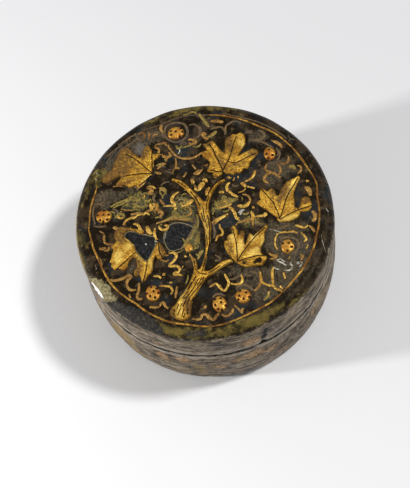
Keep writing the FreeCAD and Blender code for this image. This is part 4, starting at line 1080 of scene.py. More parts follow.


# ---------------------------------------------------------------- The tendrils and shoots
# Quick strokes of a fine brush in gold lacquer: curling tendrils, small shoots beside the stem, and dabs.
# Some keep their bright gold, and others are rubbed to tan, olive or a faint brown. The whitish marks are
# partly crazed lacquer and partly painted highlights, where light glints off the lid.
# Each stroke is its weight and the points that it runs through.
bright_strokes = [
    (1.0, [(11.4, 10.6), (10.3, 9.7), (10.0, 8.2), (10.9, 6.6), (12.2, 5.1), (13.1, 4.3)]),
    (1.3, [(4.1, 10.2), (3.0, 9.0), (2.4, 7.3)]), (1.5, [(1.7, 12.6), (0.9, 11.5), (0.4, 10.5)]),
    (1.3, [(7.2, 7.7), (8.5, 7.5)]), (1.5, [(15.4, 9.6), (16.1, 8.5), (16.7, 7.5)]),
    (1.0, [(16.7, 9.7), (19.3, 10.6), (20.4, 12.0), (21.2, 13.4)]),
    (0.8, [(13.5, 6.0), (15.3, 6.2), (16.4, 7.0)]), (1.0, [(17.2, 7.6), (19.5, 6.4)]),
    (1.5, [(12.4, 1.0), (14.0, 0.9)]),
    (1.0, [(-6.9, 10.9), (-9.1, 9.6), (-9.8, 7.9), (-9.2, 5.9), (-10.5, 6.1), (-13.1, 6.5)]),
    (0.9, [(-28.1, 2.3), (-27.2, 3.5), (-25.5, 4.3), (-23.9, 4.2), (-22.5, 5.0), (-20.6, 4.9), (-19.3, 5.2),
        (-18.4, 4.0)]),
    (1.3, [(-17.6, 8.3), (-17.2, 6.8), (-17.8, 5.6)]), (1.9, [(-20.0, 0.0), (-19.8, -1.6), (-18.8, -3.3)]),
    (1.0, [(-24.5, 2.1), (-22.9, 1.0), (-22.6, -0.3), (-21.6, -1.8)]),
    (1.0, [(-16.0, -0.9), (-15.4, -2.1), (-14.0, -2.6), (-12.9, -1.6), (-14.1, -0.8)]),
    (0.9, [(-14.2, -11.7), (-12.1, -12.2), (-11.8, -13.1), (-13.2, -15.1), (-14.7, -16.5), (-13.9, -16.8),
        (-12.2, -17.1), (-11.5, -18.2), (-12.1, -19.3), (-13.6, -19.4), (-13.6, -20.1), (-12.2, -20.3),
        (-11.0, -21.0)]),
    (1.2, [(-9.0, -13.9), (-8.5, -14.4)]), (1.2, [(-10.4, -17.6), (-10.2, -17.8)]),
    (1.6, [(-17.0, -18.7), (-17.3, -19.6)]), (1.7, [(-15.2, -22.5), (-15.3, -23.0)]),
    (0.9, [(-20.9, -19.1), (-18.9, -19.6), (-18.3, -20.4)]),
    (0.9, [(-19.3, -23.1), (-17.1, -23.6), (-15.7, -24.3), (-15.4, -26.0), (-16.0, -26.9)]),
    (1.0, [(-17.5, -13.6), (-15.6, -14.6)]),
    (0.9, [(-0.2, -26.1), (0.6, -27.5), (2.0, -29.4), (3.1, -28.5), (4.0, -26.8), (3.6, -24.8),
        (3.2, -23.4)]),
    (0.9, [(4.2, -27.1), (6.3, -28.0), (8.2, -27.7), (8.8, -26.3), (8.6, -24.9)]),
    (0.9, [(15.2, -25.0), (15.0, -27.3), (15.1, -29.0), (16.3, -30.1), (18.0, -31.0), (18.5, -30.5),
        (18.8, -28.9), (19.1, -26.5), (19.9, -24.4)]),
    (1.0, [(18.5, -30.5), (19.0, -32.1), (20.2, -33.0), (21.1, -33.9)]),
    (0.9, [(20.7, -31.6), (21.4, -32.9)]), (1.2, [(22.9, -27.1), (23.0, -29.5)]),
    (1.1, [(16.8, -32.8), (15.9, -34.6)]),
    (0.8, [(23.9, -12.4), (22.9, -13.8), (22.2, -16.1), (22.5, -18.3)]),
    (0.8, [(27.8, -12.6), (29.4, -12.9), (30.6, -13.8)]),
    (0.8, [(31.7, -13.7), (32.6, -15.1), (33.0, -16.6), (32.0, -17.5)]),
    (0.8, [(33.2, -18.7), (32.3, -20.2)]),
    (0.9, [(30.4, -10.6), (31.8, -11.4), (33.4, -12.2), (34.7, -11.5)]),
    (0.9, [(4.9, -4.6), (4.9, -5.9), (5.4, -7.3), (5.1, -8.7), (3.6, -9.0), (2.5, -10.7)]),
    (1.3, [(20.7, -3.9), (21.7, -4.8)]), (1.0, [(16.5, -2.1), (16.9, -3.7), (16.5, -5.1), (16.2, -7.8)]),
    (0.9, [(10.4, -1.2), (11.1, -3.2), (12.1, -3.8)]), (1.0, [(37.9, 5.6), (38.0, 4.7)]),
    (1.2, [(-1.8, 14.8), (-1.2, 13.7), (-1.6, 12.7)]),
    (1.1, [(-1.2, 11.1), (-0.3, 10.1), (1.2, 10.9), (2.2, 12.0), (2.0, 12.8)]),
    (1.0, [(2.1, 13.6), (3.2, 13.5), (3.5, 12.4)]), (0.9, [(-17.6, 15.3), (-15.8, 15.0), (-14.7, 13.8)]),
    (0.9, [(-17.6, 12.8), (-16.4, 13.3), (-15.9, 14.2)]),
    (1.0, [(-16.6, 8.1), (-15.4, 7.6), (-15.4, 6.2), (-16.3, 5.4)]),
    (1.0, [(-9.1, 5.8), (-9.1, 4.6), (-9.7, 4.2)]),
    (1.4, [(-7.0, 5.2), (-5.5, 5.0), (-3.9, 5.7), (-2.5, 6.6)]),
    (1.2, [(17.0, 2.0), (15.8, 0.7), (14.1, 0.2), (12.4, 1.1)]),
    (1.0, [(9.2, 1.4), (10.2, 0.2), (11.0, -1.6), (11.1, -3.6), (11.6, -4.5)]),
    (1.2, [(3.3, -4.4), (4.5, -3.1), (6.2, -2.3), (8.5, -1.4)]),
    (1.0, [(17.3, -4.4), (19.2, -4.6), (20.6, -4.7), (21.5, -4.5), (21.4, -3.7)]),
    (1.4, [(17.6, -0.3), (17.6, -1.3)]), (1.4, [(16.9, -2.9), (16.9, -4.1)]),
    (1.5, [(38.2, 5.3), (38.2, 4.7)]), (0.8, [(24.2, -12.3), (26.1, -12.4), (28.1, -12.8)]),
    (1.1, [(-17.4, -1.2), (-17.9, -3.5), (-17.4, -5.9)]),
    (0.8, [(-28.7, -2.5), (-27.7, -3.9), (-26.5, -5.3), (-25.6, -6.4)]),
    (0.7, [(-17.4, 8.7), (-17.6, 7.0), (-16.5, 7.0), (-16.2, 8.2)]),
    (1.0, [(-29.8, 6.3), (-28.5, 5.1), (-27.6, 5.4)]), (0.8, [(5.0, 2.7), (6.3, 1.7), (7.7, 1.6)]),
    (0.6, [(-5.9, 6.1), (-4.8, 6.3), (-3.3, 6.5)]), (0.5, [(-29.0, 7.1), (-27.9, 7.8)]),
    (0.7, [(-20.2, 10.7), (-19.3, 11.4), (-18.8, 12.7)]), (1.5, [(7.0, 7.6), (8.7, 7.1)]),
    (0.9, [(5.3, 2.2), (6.9, 1.6), (8.6, 1.7), (10.2, 2.4), (8.9, 3.5), (7.0, 3.3)]),
    (0.8, [(11.6, 12.8), (12.1, 12.1)]), (0.7, [(14.6, 12.4), (14.7, 11.5)]),
    (1.0, [(-13.4, 25.4), (-12.2, 26.2), (-10.9, 27.3)]), (0.7, [(2.4, 13.9), (3.3, 12.9)]),
    (0.6, [(-9.6, 24.9), (-9.2, 23.7)]),
]
tan_strokes = [
    (1.0, [(-35.5, -17.2), (-34.4, -17.8), (-31.6, -17.8), (-28.4, -17.3), (-29.9, -18.9), (-30.2, -20.6),
        (-29.4, -22.3), (-27.4, -22.8)]),
    (1.0, [(-26.0, -20.4), (-26.6, -23.3), (-27.5, -25.5), (-26.7, -26.5), (-25.7, -26.2)]),
    (1.1, [(-30.0, -23.8), (-29.8, -25.4)]), (1.2, [(-23.9, -29.9), (-22.2, -30.5), (-20.6, -30.6)]),
    (0.9, [(-20.6, -30.6), (-19.3, -29.3), (-18.6, -30.6), (-17.8, -31.9)]),
    (1.0, [(-13.5, -24.4), (-14.2, -26.7), (-14.7, -28.6)]),
    (1.0, [(-10.6, -37.1), (-7.8, -37.8), (-6.7, -36.5), (-5.6, -36.7), (-4.5, -38.2), (-3.4, -38.9),
        (-2.3, -37.9), (-1.2, -37.0)]),
    (1.5, [(-5.3, -33.4), (-5.4, -34.5)]), (1.0, [(-2.7, -27.1), (-1.5, -26.6), (-0.2, -26.1)]),
    (1.0, [(-0.5, -37.7), (1.0, -38.6), (2.7, -37.9), (3.8, -36.4)]),
    (1.0, [(14.5, -28.7), (14.0, -30.1), (11.8, -31.7)]),
    (0.9, [(2.3, -3.6), (4.2, -2.5), (6.8, -2.0), (8.7, -1.2)]),
    (0.9, [(11.1, -5.7), (12.3, -5.3), (14.0, -5.3), (16.2, -5.0)]), (0.9, [(30.4, -22.0), (29.8, -23.9)]),
    (1.2, [(37.4, -6.7), (37.8, -8.3), (37.1, -9.9)]), (0.9, [(35.0, -11.8), (36.1, -13.5), (36.3, -14.8)]),
    (1.4, [(37.0, 2.3), (37.8, 1.1), (37.9, -0.1)]),
    (1.0, [(25.6, 14.9), (24.8, 13.3), (25.1, 12.1), (26.1, 11.5), (24.7, 10.7), (23.6, 9.6), (23.7, 8.2),
        (24.7, 7.3)]),
    (1.1, [(26.1, 11.5), (27.3, 10.7), (28.5, 9.3), (29.2, 8.6)]),
    (0.8, [(29.2, 14.3), (29.8, 12.5), (29.7, 10.9), (28.8, 9.8)]),
    (0.8, [(30.0, 14.3), (31.4, 13.6), (32.8, 13.9), (33.5, 15.0), (33.6, 16.4)]),
    (0.9, [(33.0, 12.1), (34.4, 11.1)]), (0.9, [(35.9, 12.0), (37.0, 11.1), (36.6, 9.6), (35.3, 8.7)]),
    (0.9, [(29.0, 23.9), (30.4, 22.7), (31.5, 21.2)]),
    (1.1, [(4.9, 32.0), (5.7, 30.9), (6.3, 29.9), (7.1, 29.3)]),
    (1.1, [(9.9, 31.8), (8.8, 30.8), (7.3, 29.9)]), (1.5, [(9.2, 36.5), (11.4, 35.9), (13.6, 35.0)]),
    (0.9, [(-7.2, 29.0), (-6.1, 26.4), (-4.7, 24.5), (-2.7, 23.5), (0.5, 23.1), (2.5, 23.9)]),
    (0.8, [(-5.7, 24.5), (-6.0, 21.6), (-6.7, 19.9)]), (1.0, [(-2.8, 17.9), (-4.3, 16.2)]),
    (1.0, [(0.0, 17.0), (1.8, 18.0)]), (1.4, [(-1.4, 15.0), (-1.4, 13.8), (-1.5, 13.0)]),
    (1.0, [(-10.2, 31.1), (-8.8, 31.3), (-8.0, 30.0)]), (0.9, [(-9.7, 26.4), (-8.8, 25.4), (-9.2, 24.2)]),
    (0.9, [(-13.9, 9.4), (-13.1, 7.7), (-12.5, 6.5)]),
    (1.0, [(-18.0, 14.8), (-16.4, 14.1), (-16.1, 12.9), (-17.3, 12.3)]),
    (1.0, [(-13.4, 14.1), (-12.4, 13.0), (-11.4, 12.2)]),
    (0.9, [(-35.2, 0.1), (-35.5, -1.6), (-35.2, -3.3), (-34.1, -3.9), (-32.7, -4.3)]),
    (1.2, [(-37.7, -4.9), (-36.4, -5.2), (-35.3, -5.0)]), (1.0, [(0.6, 18.4), (-0.4, 20.5)]),
    (1.0, [(2.5, 13.7), (3.3, 12.9)]), (0.9, [(14.1, 33.0), (13.7, 31.3)]),
    (0.9, [(14.9, 5.1), (16.6, 4.0), (17.1, 2.3), (16.3, 0.8)]),
    (0.8, [(4.4, -35.3), (5.5, -37.0), (6.3, -38.6)]), (0.9, [(12.7, 10.9), (13.4, 12.2)]),
    (0.9, [(11.2, 13.1), (11.4, 12.0)]), (1.4, [(-8.4, 38.8), (-9.0, 37.3), (-8.4, 35.7)]),
    (1.3, [(-7.5, 30.2), (-7.2, 28.5)]), (1.2, [(-12.2, 30.4), (-11.0, 28.9), (-11.6, 27.8)]),
    (1.0, [(-7.6, 27.3), (-7.5, 25.6), (-9.4, 25.6), (-10.3, 26.9)]),
    (1.0, [(-12.9, 21.5), (-11.3, 22.5), (-9.4, 23.0)]), (1.0, [(-13.9, 20.4), (-12.7, 19.6), (-11.7, 19.4)]),
    (1.0, [(-6.7, 20.1), (-5.9, 20.3), (-5.0, 19.8)]), (0.9, [(2.1, 23.4), (3.5, 24.3), (4.6, 24.5)]),
    (1.4, [(-0.1, 30.6), (1.3, 30.5), (2.2, 29.2), (1.4, 28.6), (0.0, 29.3)]),
    (0.9, [(5.0, 31.7), (6.0, 32.1), (6.6, 31.2)]),
    (1.1, [(-15.4, 4.3), (-14.3, 4.4), (-13.9, 3.5), (-14.9, 3.1)]),
    (0.8, [(-17.5, 36.7), (-15.9, 37.2), (-15.0, 36.1), (-15.6, 34.8)]),
    (0.8, [(-14.1, 33.8), (-13.4, 35.7), (-13.7, 37.1)]),
    (0.8, [(-12.6, 34.7), (-11.4, 35.5), (-10.3, 35.4)]),
    (1.5, [(37.2, -6.6), (37.9, -8.2), (37.2, -10.0), (36.4, -10.4)]),
    (1.4, [(36.6, 3.0), (37.7, 2.3), (38.2, 0.7), (37.8, -0.8)]),
    (1.6, [(24.6, 4.5), (25.3, 3.6), (25.2, 2.4), (23.9, 1.1)]),
    (1.0, [(29.4, 23.6), (30.8, 22.5), (31.9, 20.8), (31.9, 20.0)]),
    (1.0, [(-36.1, -5.9), (-34.7, -6.0), (-34.2, -5.0)]), (0.8, [(-37.8, -8.8), (-37.6, -11.2)]),
    (0.8, [(-36.6, 1.8), (-35.2, 0.5)]), (1.0, [(19.5, -19.0), (20.4, -20.0), (21.6, -20.6), (22.4, -20.4)]),
    (1.0, [(19.4, -21.3), (20.8, -21.2), (21.9, -21.0)]), (0.9, [(6.3, -38.8), (6.7, -37.4), (7.3, -37.2)]),
    (0.9, [(25.7, -22.6), (26.3, -21.6)]), (0.9, [(29.8, -21.6), (30.6, -22.6), (29.9, -23.5)]),
    (0.9, [(-27.7, 2.0), (-27.2, 3.5), (-25.7, 4.3), (-23.6, 4.6), (-22.1, 5.1)]),
    (1.0, [(-24.9, 5.7), (-22.6, 5.7), (-20.3, 5.1), (-18.5, 5.8), (-15.9, 5.5), (-14.3, 4.7), (-14.2, 3.3),
        (-15.5, 2.6)]),
    (0.8, [(-4.2, 3.9), (-4.0, 2.0), (-5.3, 1.0), (-7.1, 1.2)]),
    (0.9, [(-20.9, 15.3), (-19.3, 16.3), (-17.7, 17.6)]), (0.6, [(-28.0, 8.7), (-26.2, 7.8), (-24.4, 7.4)]),
    (0.8, [(-16.7, 0.3), (-14.6, 0.6), (-11.7, 0.9), (-8.9, 0.5), (-6.2, -0.6), (-3.4, -2.0)]),
    (0.8, [(-16.6, -9.2), (-16.6, -11.4), (-15.5, -12.3), (-14.3, -12.4)]),
    (0.7, [(-17.1, -13.5), (-15.5, -14.5), (-14.6, -14.1)]),
    (0.9, [(-7.2, -13.5), (-6.6, -15.4), (-6.3, -17.7), (-6.3, -19.8)]),
    (1.4, [(-31.6, 2.4), (-30.5, 1.3), (-29.2, 0.3)]), (0.8, [(-17.5, 13.5), (-17.0, 12.3), (-15.9, 11.9)]),
    (0.7, [(-29.5, 17.9), (-27.6, 17.9), (-26.0, 17.2)]), (0.8, [(-7.0, 6.6), (-5.6, 5.3), (-3.9, 5.4)]),
    (0.6, [(-1.8, 6.8), (-1.2, 5.5), (-1.3, 3.9)]), (0.7, [(10.2, -6.4), (11.5, -5.4), (12.8, -5.5)]),
    (0.8, [(2.6, 14.2), (3.5, 13.0)]), (1.0, [(-0.6, 16.9), (0.7, 16.4), (2.1, 17.2), (3.1, 18.0)]),
    (0.7, [(-12.3, 30.8), (-11.3, 31.3), (-9.8, 31.3), (-7.9, 31.4)]),
    (0.8, [(-10.1, 25.7), (-8.5, 25.5), (-7.2, 26.1)]), (0.8, [(-13.8, 20.0), (-12.7, 20.0), (-11.9, 19.4)]),
    (0.7, [(-0.9, 12.4), (-0.8, 11.4), (-0.5, 10.3)]), (0.7, [(0.4, 11.5), (1.5, 12.3)]),
    (0.9, [(-17.7, 14.8), (-16.6, 13.9), (-17.1, 12.6)]), (0.6, [(-7.1, 20.1), (-7.7, 18.8)]),
    (0.7, [(3.9, 19.0), (5.2, 19.2)]), (0.6, [(6.0, 14.0), (7.2, 13.4)]),
]
olive_strokes = [
    (1.3, [(-13.5, 0.9), (-11.2, 1.4), (-9.1, 1.5), (-7.1, 0.6), (-5.5, -0.3), (-3.8, -0.9)]),
    (0.9, [(-7.6, 6.1), (-6.2, 6.0), (-4.6, 6.6), (-3.2, 6.7)]),
    (0.9, [(-13.3, 12.8), (-12.2, 12.8), (-11.1, 12.3)]),
    (0.8, [(-30.7, 9.6), (-29.2, 10.1), (-27.3, 10.5), (-25.4, 11.3), (-23.9, 11.7)]),
    (1.0, [(-30.5, 5.6), (-29.3, 6.5), (-28.2, 6.7), (-27.3, 5.7), (-27.8, 4.6)]),
    (0.9, [(-32.7, 8.1), (-31.2, 8.2), (-30.3, 7.4)]),
    (0.8, [(-23.5, 10.5), (-22.6, 11.0), (-21.2, 10.5), (-20.4, 11.3), (-19.0, 10.7)]),
    (0.9, [(-23.7, 8.1), (-22.2, 8.6), (-20.9, 7.7), (-19.4, 8.3), (-18.1, 7.6)]),
    (0.8, [(-21.6, 12.8), (-20.4, 13.4), (-19.5, 12.4), (-18.7, 13.0)]),
    (0.8, [(-19.4, 10.3), (-18.1, 9.6), (-16.9, 10.2)]), (0.7, [(-24.6, 7.1), (-23.1, 7.4), (-21.5, 6.4)]),
    (0.8, [(-16.7, 2.6), (-15.3, 2.6), (-14.3, 2.0)]),
    (0.8, [(-0.1, 41.2), (1.7, 41.2), (3.6, 41.6), (4.8, 40.7)]),
    (1.1, [(5.6, 40.3), (6.7, 37.9), (7.7, 35.5), (8.2, 34.2)]),
    (0.8, [(-4.9, 29.4), (-4.0, 27.9), (-2.6, 28.9)]), (1.2, [(-9.4, 24.4), (-9.0, 23.6)]),
    (1.2, [(6.9, 30.2), (8.3, 30.4), (9.9, 31.4), (10.6, 31.9)]),
    (1.4, [(33.0, 12.3), (34.2, 11.9), (35.0, 10.7)]),
    (1.6, [(5.0, 2.5), (6.1, 2.9), (7.8, 2.3), (9.7, 3.0), (11.6, 3.4), (13.0, 3.7)]),
    (1.0, [(4.5, 1.8), (5.5, 1.4), (7.3, 1.4)]), (0.9, [(7.4, 4.8), (8.4, 5.5), (9.3, 4.9)]),
    (0.9, [(13.5, -4.9), (15.0, -4.5), (15.8, -3.9)]), (0.8, [(17.3, -7.3), (18.7, -7.4), (19.9, -8.1)]),
    (0.9, [(9.6, 0.5), (8.4, -0.2), (7.0, -0.1)]), (0.8, [(13.3, -2.1), (14.6, -2.8), (15.8, -2.3)]),
    (1.3, [(-3.7, -3.1), (-4.2, -5.3), (-5.2, -7.0), (-6.2, -8.4)]),
    (1.0, [(-3.0, -6.7), (-4.0, -8.5), (-4.8, -10.6)]), (1.3, [(-4.5, -15.7), (-3.6, -14.2), (-2.4, -13.1)]),
    (0.9, [(-8.6, -7.1), (-7.9, -8.4), (-6.9, -8.2)]), (0.7, [(-9.1, -21.2), (-9.6, -22.9), (-10.5, -24.2)]),
    (0.8, [(-14.7, -0.2), (-15.9, -0.8)]), (1.2, [(14.4, -35.6), (15.4, -35.0), (16.5, -33.8)]),
    (0.9, [(-31.5, 10.2), (-28.6, 11.2), (-26.0, 11.7), (-23.4, 12.6)]),
    (0.7, [(-22.9, 12.2), (-21.9, 13.4)]), (0.7, [(-22.1, 10.6), (-20.6, 11.7)]),
    (0.7, [(-21.2, 8.8), (-19.7, 9.6)]), (0.6, [(-19.6, 11.9), (-18.0, 13.0)]),
    (0.6, [(-19.3, 10.0), (-17.8, 10.4)]), (0.7, [(-23.0, 8.5), (-21.2, 7.8)]),
    (0.7, [(-18.3, 8.2), (-17.5, 9.2)]), (1.2, [(-9.7, 2.8), (-8.5, 2.8)]),
    (0.6, [(-12.8, 14.1), (-13.4, 12.4), (-12.8, 10.4)]),
    (0.7, [(-12.8, 14.1), (-11.4, 12.9), (-11.3, 11.7), (-12.6, 10.4), (-13.0, 9.3)]),
    (1.0, [(-3.9, -2.8), (-3.6, -4.7), (-4.7, -6.4), (-6.2, -7.7), (-7.8, -9.1), (-8.8, -10.9)]),
    (0.6, [(-14.5, -11.0), (-13.0, -11.9), (-10.6, -12.1), (-8.9, -11.3)]),
    (1.3, [(-7.2, -11.2), (-6.3, -11.9), (-6.4, -10.8)]),
    (0.8, [(-5.1, -13.9), (-4.3, -15.2), (-5.1, -16.2)]), (0.6, [(-7.7, 7.4), (-6.3, 8.5), (-4.7, 8.1)]),
    (0.6, [(-6.2, 9.2), (-4.9, 9.6), (-4.2, 8.7)]), (0.7, [(-5.0, 11.0), (-3.4, 10.9)]),
    (0.7, [(-7.6, 3.5), (-6.7, 2.6)]), (0.6, [(3.4, 2.9), (3.9, 1.2), (3.2, -0.5)]),
    (0.6, [(-2.2, -5.6), (-3.1, -8.2), (-3.3, -10.8)]), (0.6, [(3.1, -3.6), (2.9, -5.9)]),
    (0.7, [(5.9, 4.2), (9.1, 4.2), (12.9, 3.7)]), (0.8, [(2.9, 1.3), (4.6, 0.5)]),
    (1.0, [(-2.1, 0.7), (-2.2, -1.7), (-3.0, -4.5)]), (0.7, [(11.0, -3.4), (11.9, -4.5), (10.9, -5.9)]),
    (0.7, [(-4.5, 29.4), (-3.8, 28.1), (-2.4, 28.9)]), (0.7, [(-2.9, 27.8), (-1.3, 28.1), (0.6, 28.2)]),
    (0.7, [(1.1, 27.6), (2.9, 27.2), (4.3, 28.1)]), (0.8, [(-13.0, 22.8), (-11.7, 23.2), (-9.9, 23.2)]),
    (0.6, [(-12.9, 21.7), (-11.6, 21.8)]), (0.8, [(-12.8, 13.0), (-11.7, 12.1), (-11.3, 10.7)]),
    (0.8, [(-19.9, 12.6), (-18.6, 13.0), (-17.5, 12.0)]), (0.7, [(-16.2, 10.7), (-15.0, 10.9)]),
    (0.6, [(8.2, 5.6), (8.8, 4.8)]), (0.6, [(14.3, 4.2), (14.6, 2.9)]),
    (0.8, [(-35.6, 24.5), (-34.8, 25.2), (-33.6, 25.7)]),
    (0.7, [(-35.5, 22.5), (-34.6, 23.3), (-33.3, 23.8)]), (0.6, [(-35.5, 21.0), (-34.5, 21.8)]),
]
faded_strokes = [
    (0.9, [(14.1, 33.1), (15.8, 34.1), (18.1, 34.4), (19.7, 33.1)]),
    (0.9, [(8.5, 33.2), (10.5, 33.4), (12.5, 33.1), (13.6, 31.3), (13.3, 29.7)]),
    (0.9, [(21.5, 25.5), (23.7, 25.3), (25.7, 25.4), (27.0, 26.4), (26.6, 27.9), (25.2, 28.8)]),
    (1.6, [(20.6, 29.2), (21.8, 29.0), (23.0, 28.7)]), (0.9, [(26.1, 23.5), (24.7, 24.6), (23.3, 24.8)]),
    (0.9, [(-34.0, 17.2), (-33.2, 15.4), (-33.4, 12.9), (-36.1, 12.4)]),
    (1.0, [(25.8, 15.4), (28.0, 15.0), (29.8, 15.3)]), (0.8, [(29.6, 17.1), (30.5, 18.5), (30.3, 20.4)]),
    (0.8, [(-38.4, 4.3), (-36.6, 3.4), (-34.2, 3.2)]), (0.9, [(-8.5, 37.9), (-8.8, 35.8), (-8.4, 33.5)]),
    (0.9, [(-22.3, 17.5), (-20.9, 14.5)]), (0.9, [(4.8, 35.2), (5.1, 33.6), (4.1, 32.2)]),
    (1.0, [(-12.6, 22.8), (-11.2, 22.2), (-9.8, 21.7)]), (0.9, [(-3.4, 29.3), (-2.0, 30.1), (-0.6, 29.4)]),
    (0.9, [(-3.4, 0.4), (-3.1, -2.2), (-4.5, -4.8), (-6.3, -7.2), (-7.6, -9.5)]),
    (0.9, [(-18.4, 37.6), (-17.5, 35.1), (-15.5, 33.7)]),
    (0.9, [(-13.4, 37.3), (-12.0, 35.6), (-10.4, 34.8)]),
    (0.9, [(22.0, -10.3), (24.4, -10.8), (26.7, -10.4), (28.7, -10.1)]),
    (0.9, [(-7.9, 35.3), (-7.2, 37.5), (-5.2, 38.5), (-2.8, 38.5), (-0.6, 37.5), (0.3, 35.3), (0.0, 32.9),
        (-1.7, 31.2), (-4.1, 30.7), (-6.3, 31.8), (-7.7, 33.6), (-7.9, 35.3)]),
    (0.7, [(1.3, 36.6), (3.3, 36.4), (4.6, 34.6), (4.6, 32.5), (3.4, 31.0), (1.7, 30.8)]),
    (0.8, [(-34.9, 16.2), (-34.0, 15.2), (-32.7, 15.3), (-31.5, 16.3)]),
    (0.8, [(-37.1, 12.3), (-35.3, 12.2), (-33.4, 10.8)]),
    (0.7, [(-37.0, 12.0), (-37.8, 10.0), (-38.0, 7.3), (-37.7, 4.6)]),
    (0.5, [(-31.0, 29.8), (-27.3, 32.2), (-23.7, 34.3)]),
    (0.5, [(-29.4, 30.6), (-25.7, 33.1), (-21.8, 35.1)]),
    (0.5, [(-25.2, 34.2), (-20.9, 36.2), (-16.9, 37.8)]),
    (0.8, [(24.7, 24.7), (26.6, 23.2), (28.1, 21.7), (29.3, 20.6)]),
    (0.9, [(30.0, 20.4), (30.9, 18.5), (30.3, 16.6), (29.2, 15.6)]),
    (0.7, [(12.0, 9.7), (12.9, 8.7), (14.4, 8.8)]), (0.5, [(41.3, 20.8), (42.1, 19.0), (42.7, 17.6)]),
    (0.5, [(35.2, 24.7), (35.7, 23.3), (37.3, 22.2)]),
    (0.9, [(24.2, -14.8), (25.7, -14.4), (27.7, -14.8), (29.6, -15.8), (30.0, -17.9), (29.1, -19.9),
        (27.8, -21.0)]),
    (1.0, [(9.7, -24.8), (10.9, -25.5), (12.0, -26.1)]), (1.0, [(11.9, -24.2), (13.7, -25.3), (14.6, -25.9)]),
    (0.9, [(4.3, -25.6), (5.7, -25.9), (8.3, -24.9), (9.4, -24.4)]),
    (1.0, [(-2.3, -31.2), (-1.4, -30.3), (0.3, -30.3), (1.9, -31.4)]),
    (1.1, [(6.4, -29.0), (8.6, -28.7), (10.7, -29.9), (11.5, -31.6)]),
    (1.0, [(1.3, -15.8), (2.7, -17.6), (0.9, -18.0)]), (1.0, [(-15.6, 8.7), (-16.1, 10.2), (-15.2, 12.1)]),
    (0.8, [(-31.0, 9.4), (-29.5, 8.3), (-29.3, 6.7)]), (1.1, [(25.5, 4.8), (25.6, 3.3), (24.5, 2.5)]),
    (0.9, [(3.3, -2.6), (2.7, -4.9), (2.8, -7.4), (1.8, -9.6)]),
    (0.7, [(16.9, -7.2), (18.6, -8.0), (19.6, -8.6)]), (0.8, [(-10.1, 20.1), (-8.7, 19.1), (-7.3, 18.1)]),
    (0.6, [(-9.1, 20.5), (-7.6, 19.9)]), (0.7, [(-12.6, 14.7), (-11.1, 15.6), (-9.3, 15.5)]),
    (0.7, [(-12.1, 36.1), (-10.8, 36.2), (-9.7, 35.6)]), (0.6, [(-11.4, 34.5), (-10.2, 34.6)]),
    (0.6, [(-13.3, 34.6), (-11.8, 33.9)]),
]
# Whitish marks: partly crazed lacquer, partly painted glints of light on the lid and its rim.
chalk_and_glint_strokes = [
    (0.63, [(21.6, -22.3), (23.0, -23.4), (24.4, -24.8)]), (0.56, [(22.6, -21.7), (24.2, -23.4)]),
    (0.5, [(19.9, -24.3), (20.7, -25.1), (21.7, -25.8)]),
    (0.55, [(23.3, -26.3), (24.9, -26.7), (26.4, -25.8)]), (0.7, [(25.8, -24.0), (26.4, -25.5)]),
    (0.63, [(28.0, -24.5), (29.6, -24.7), (28.6, -26.1)]),
    (0.49, [(19.6, -19.2), (20.6, -20.3), (22.4, -20.7)]), (0.42, [(-39.9, -10.7), (-39.7, -12.4)]),
    (0.63, [(-37.0, -12.6), (-36.9, -13.1)]), (0.17, [(38.4, -15.8), (38.3, -19.4), (38.9, -22.6)]),
    (0.32, [(32.5, -28.6), (31.7, -30.1), (31.1, -31.7)]), (0.35, [(42.1, -6.5), (42.8, -8.2)]),
    (0.24, [(44.0, 2.9), (44.3, 1.7)]), (0.35, [(-5.2, 10.0), (-4.2, 8.8)]),
    (0.49, [(-7.9, 7.6), (-6.3, 7.8), (-4.5, 6.9)]), (0.49, [(-7.5, 4.6), (-6.3, 5.4)]),
    (0.28, [(12.5, -1.6), (13.6, -0.6)]), (0.28, [(12.1, -3.0), (13.7, -1.4)]),
    (0.49, [(16.7, -6.8), (18.5, -7.0)]), (0.49, [(8.8, 5.2), (8.0, 6.0)]),
    (0.35, [(-13.9, -4.0), (-14.6, -5.8)]), (0.49, [(-18.3, -6.2), (-17.4, -6.5)]),
    (0.5, [(-3.8, 28.1), (-3.8, 26.8), (-4.6, 25.8)]), (0.8, [(12.5, -2.7), (13.5, -1.4), (14.3, -0.9)]),
    (0.7, [(12.2, -1.9), (13.1, -0.9)]), (0.7, [(21.3, -22.1), (22.7, -22.0)]),
    (0.7, [(22.2, -23.0), (23.8, -23.7)]), (0.8, [(25.7, -24.5), (26.5, -25.5)]),
    (0.7, [(27.8, -25.0), (29.0, -25.1)]), (0.7, [(28.8, -26.3), (29.9, -25.1)]),
    (0.9, [(-21.6, -6.4), (-21.3, -6.9)]), (0.3, [(16.9, -3.9), (18.6, -4.7), (20.7, -5.2), (21.9, -4.6)]),
    (0.28, [(21.2, -10.0), (23.5, -11.3), (26.2, -12.5), (31.2, -13.5)]), (0.5, [(-3.1, 21.3), (-2.8, 20.9)]),
    (0.45, [(1.1, 14.4), (1.1, 13.8)]), (0.4, [(1.0, 14.2), (1.1, 13.7)]),
    (0.45, [(-34.6, 24.2), (-34.1, 24.7)]), (0.4, [(-35.2, 22.0), (-34.8, 22.3)]),
]
bright_gold = stroke_gold(
    "bright stroke gold", (1.0, 0.63, 0.13), (0.34, 0.15, 0.022), metal=0.45, worn_span=(0.46, 0.66)
)
tan_gold = stroke_gold(
    "tan stroke gold", (0.56, 0.31, 0.080), (0.21, 0.095, 0.026), metal=0.25, worn_span=(0.45, 0.65)
)
olive_gold = stroke_gold(
    "olive stroke gold", (0.42, 0.31, 0.075), (0.15, 0.110, 0.032), metal=0.15, worn_span=(0.45, 0.63)
)
# Partly crazed lacquer, partly painted highlight: a pale whitish colour.
chalk_and_glint = stroke_gold(
    "chalk and glint strokes", (0.74, 0.71, 0.60), (0.24, 0.21, 0.145), metal=0.0, worn_span=(0.46, 0.62)
)
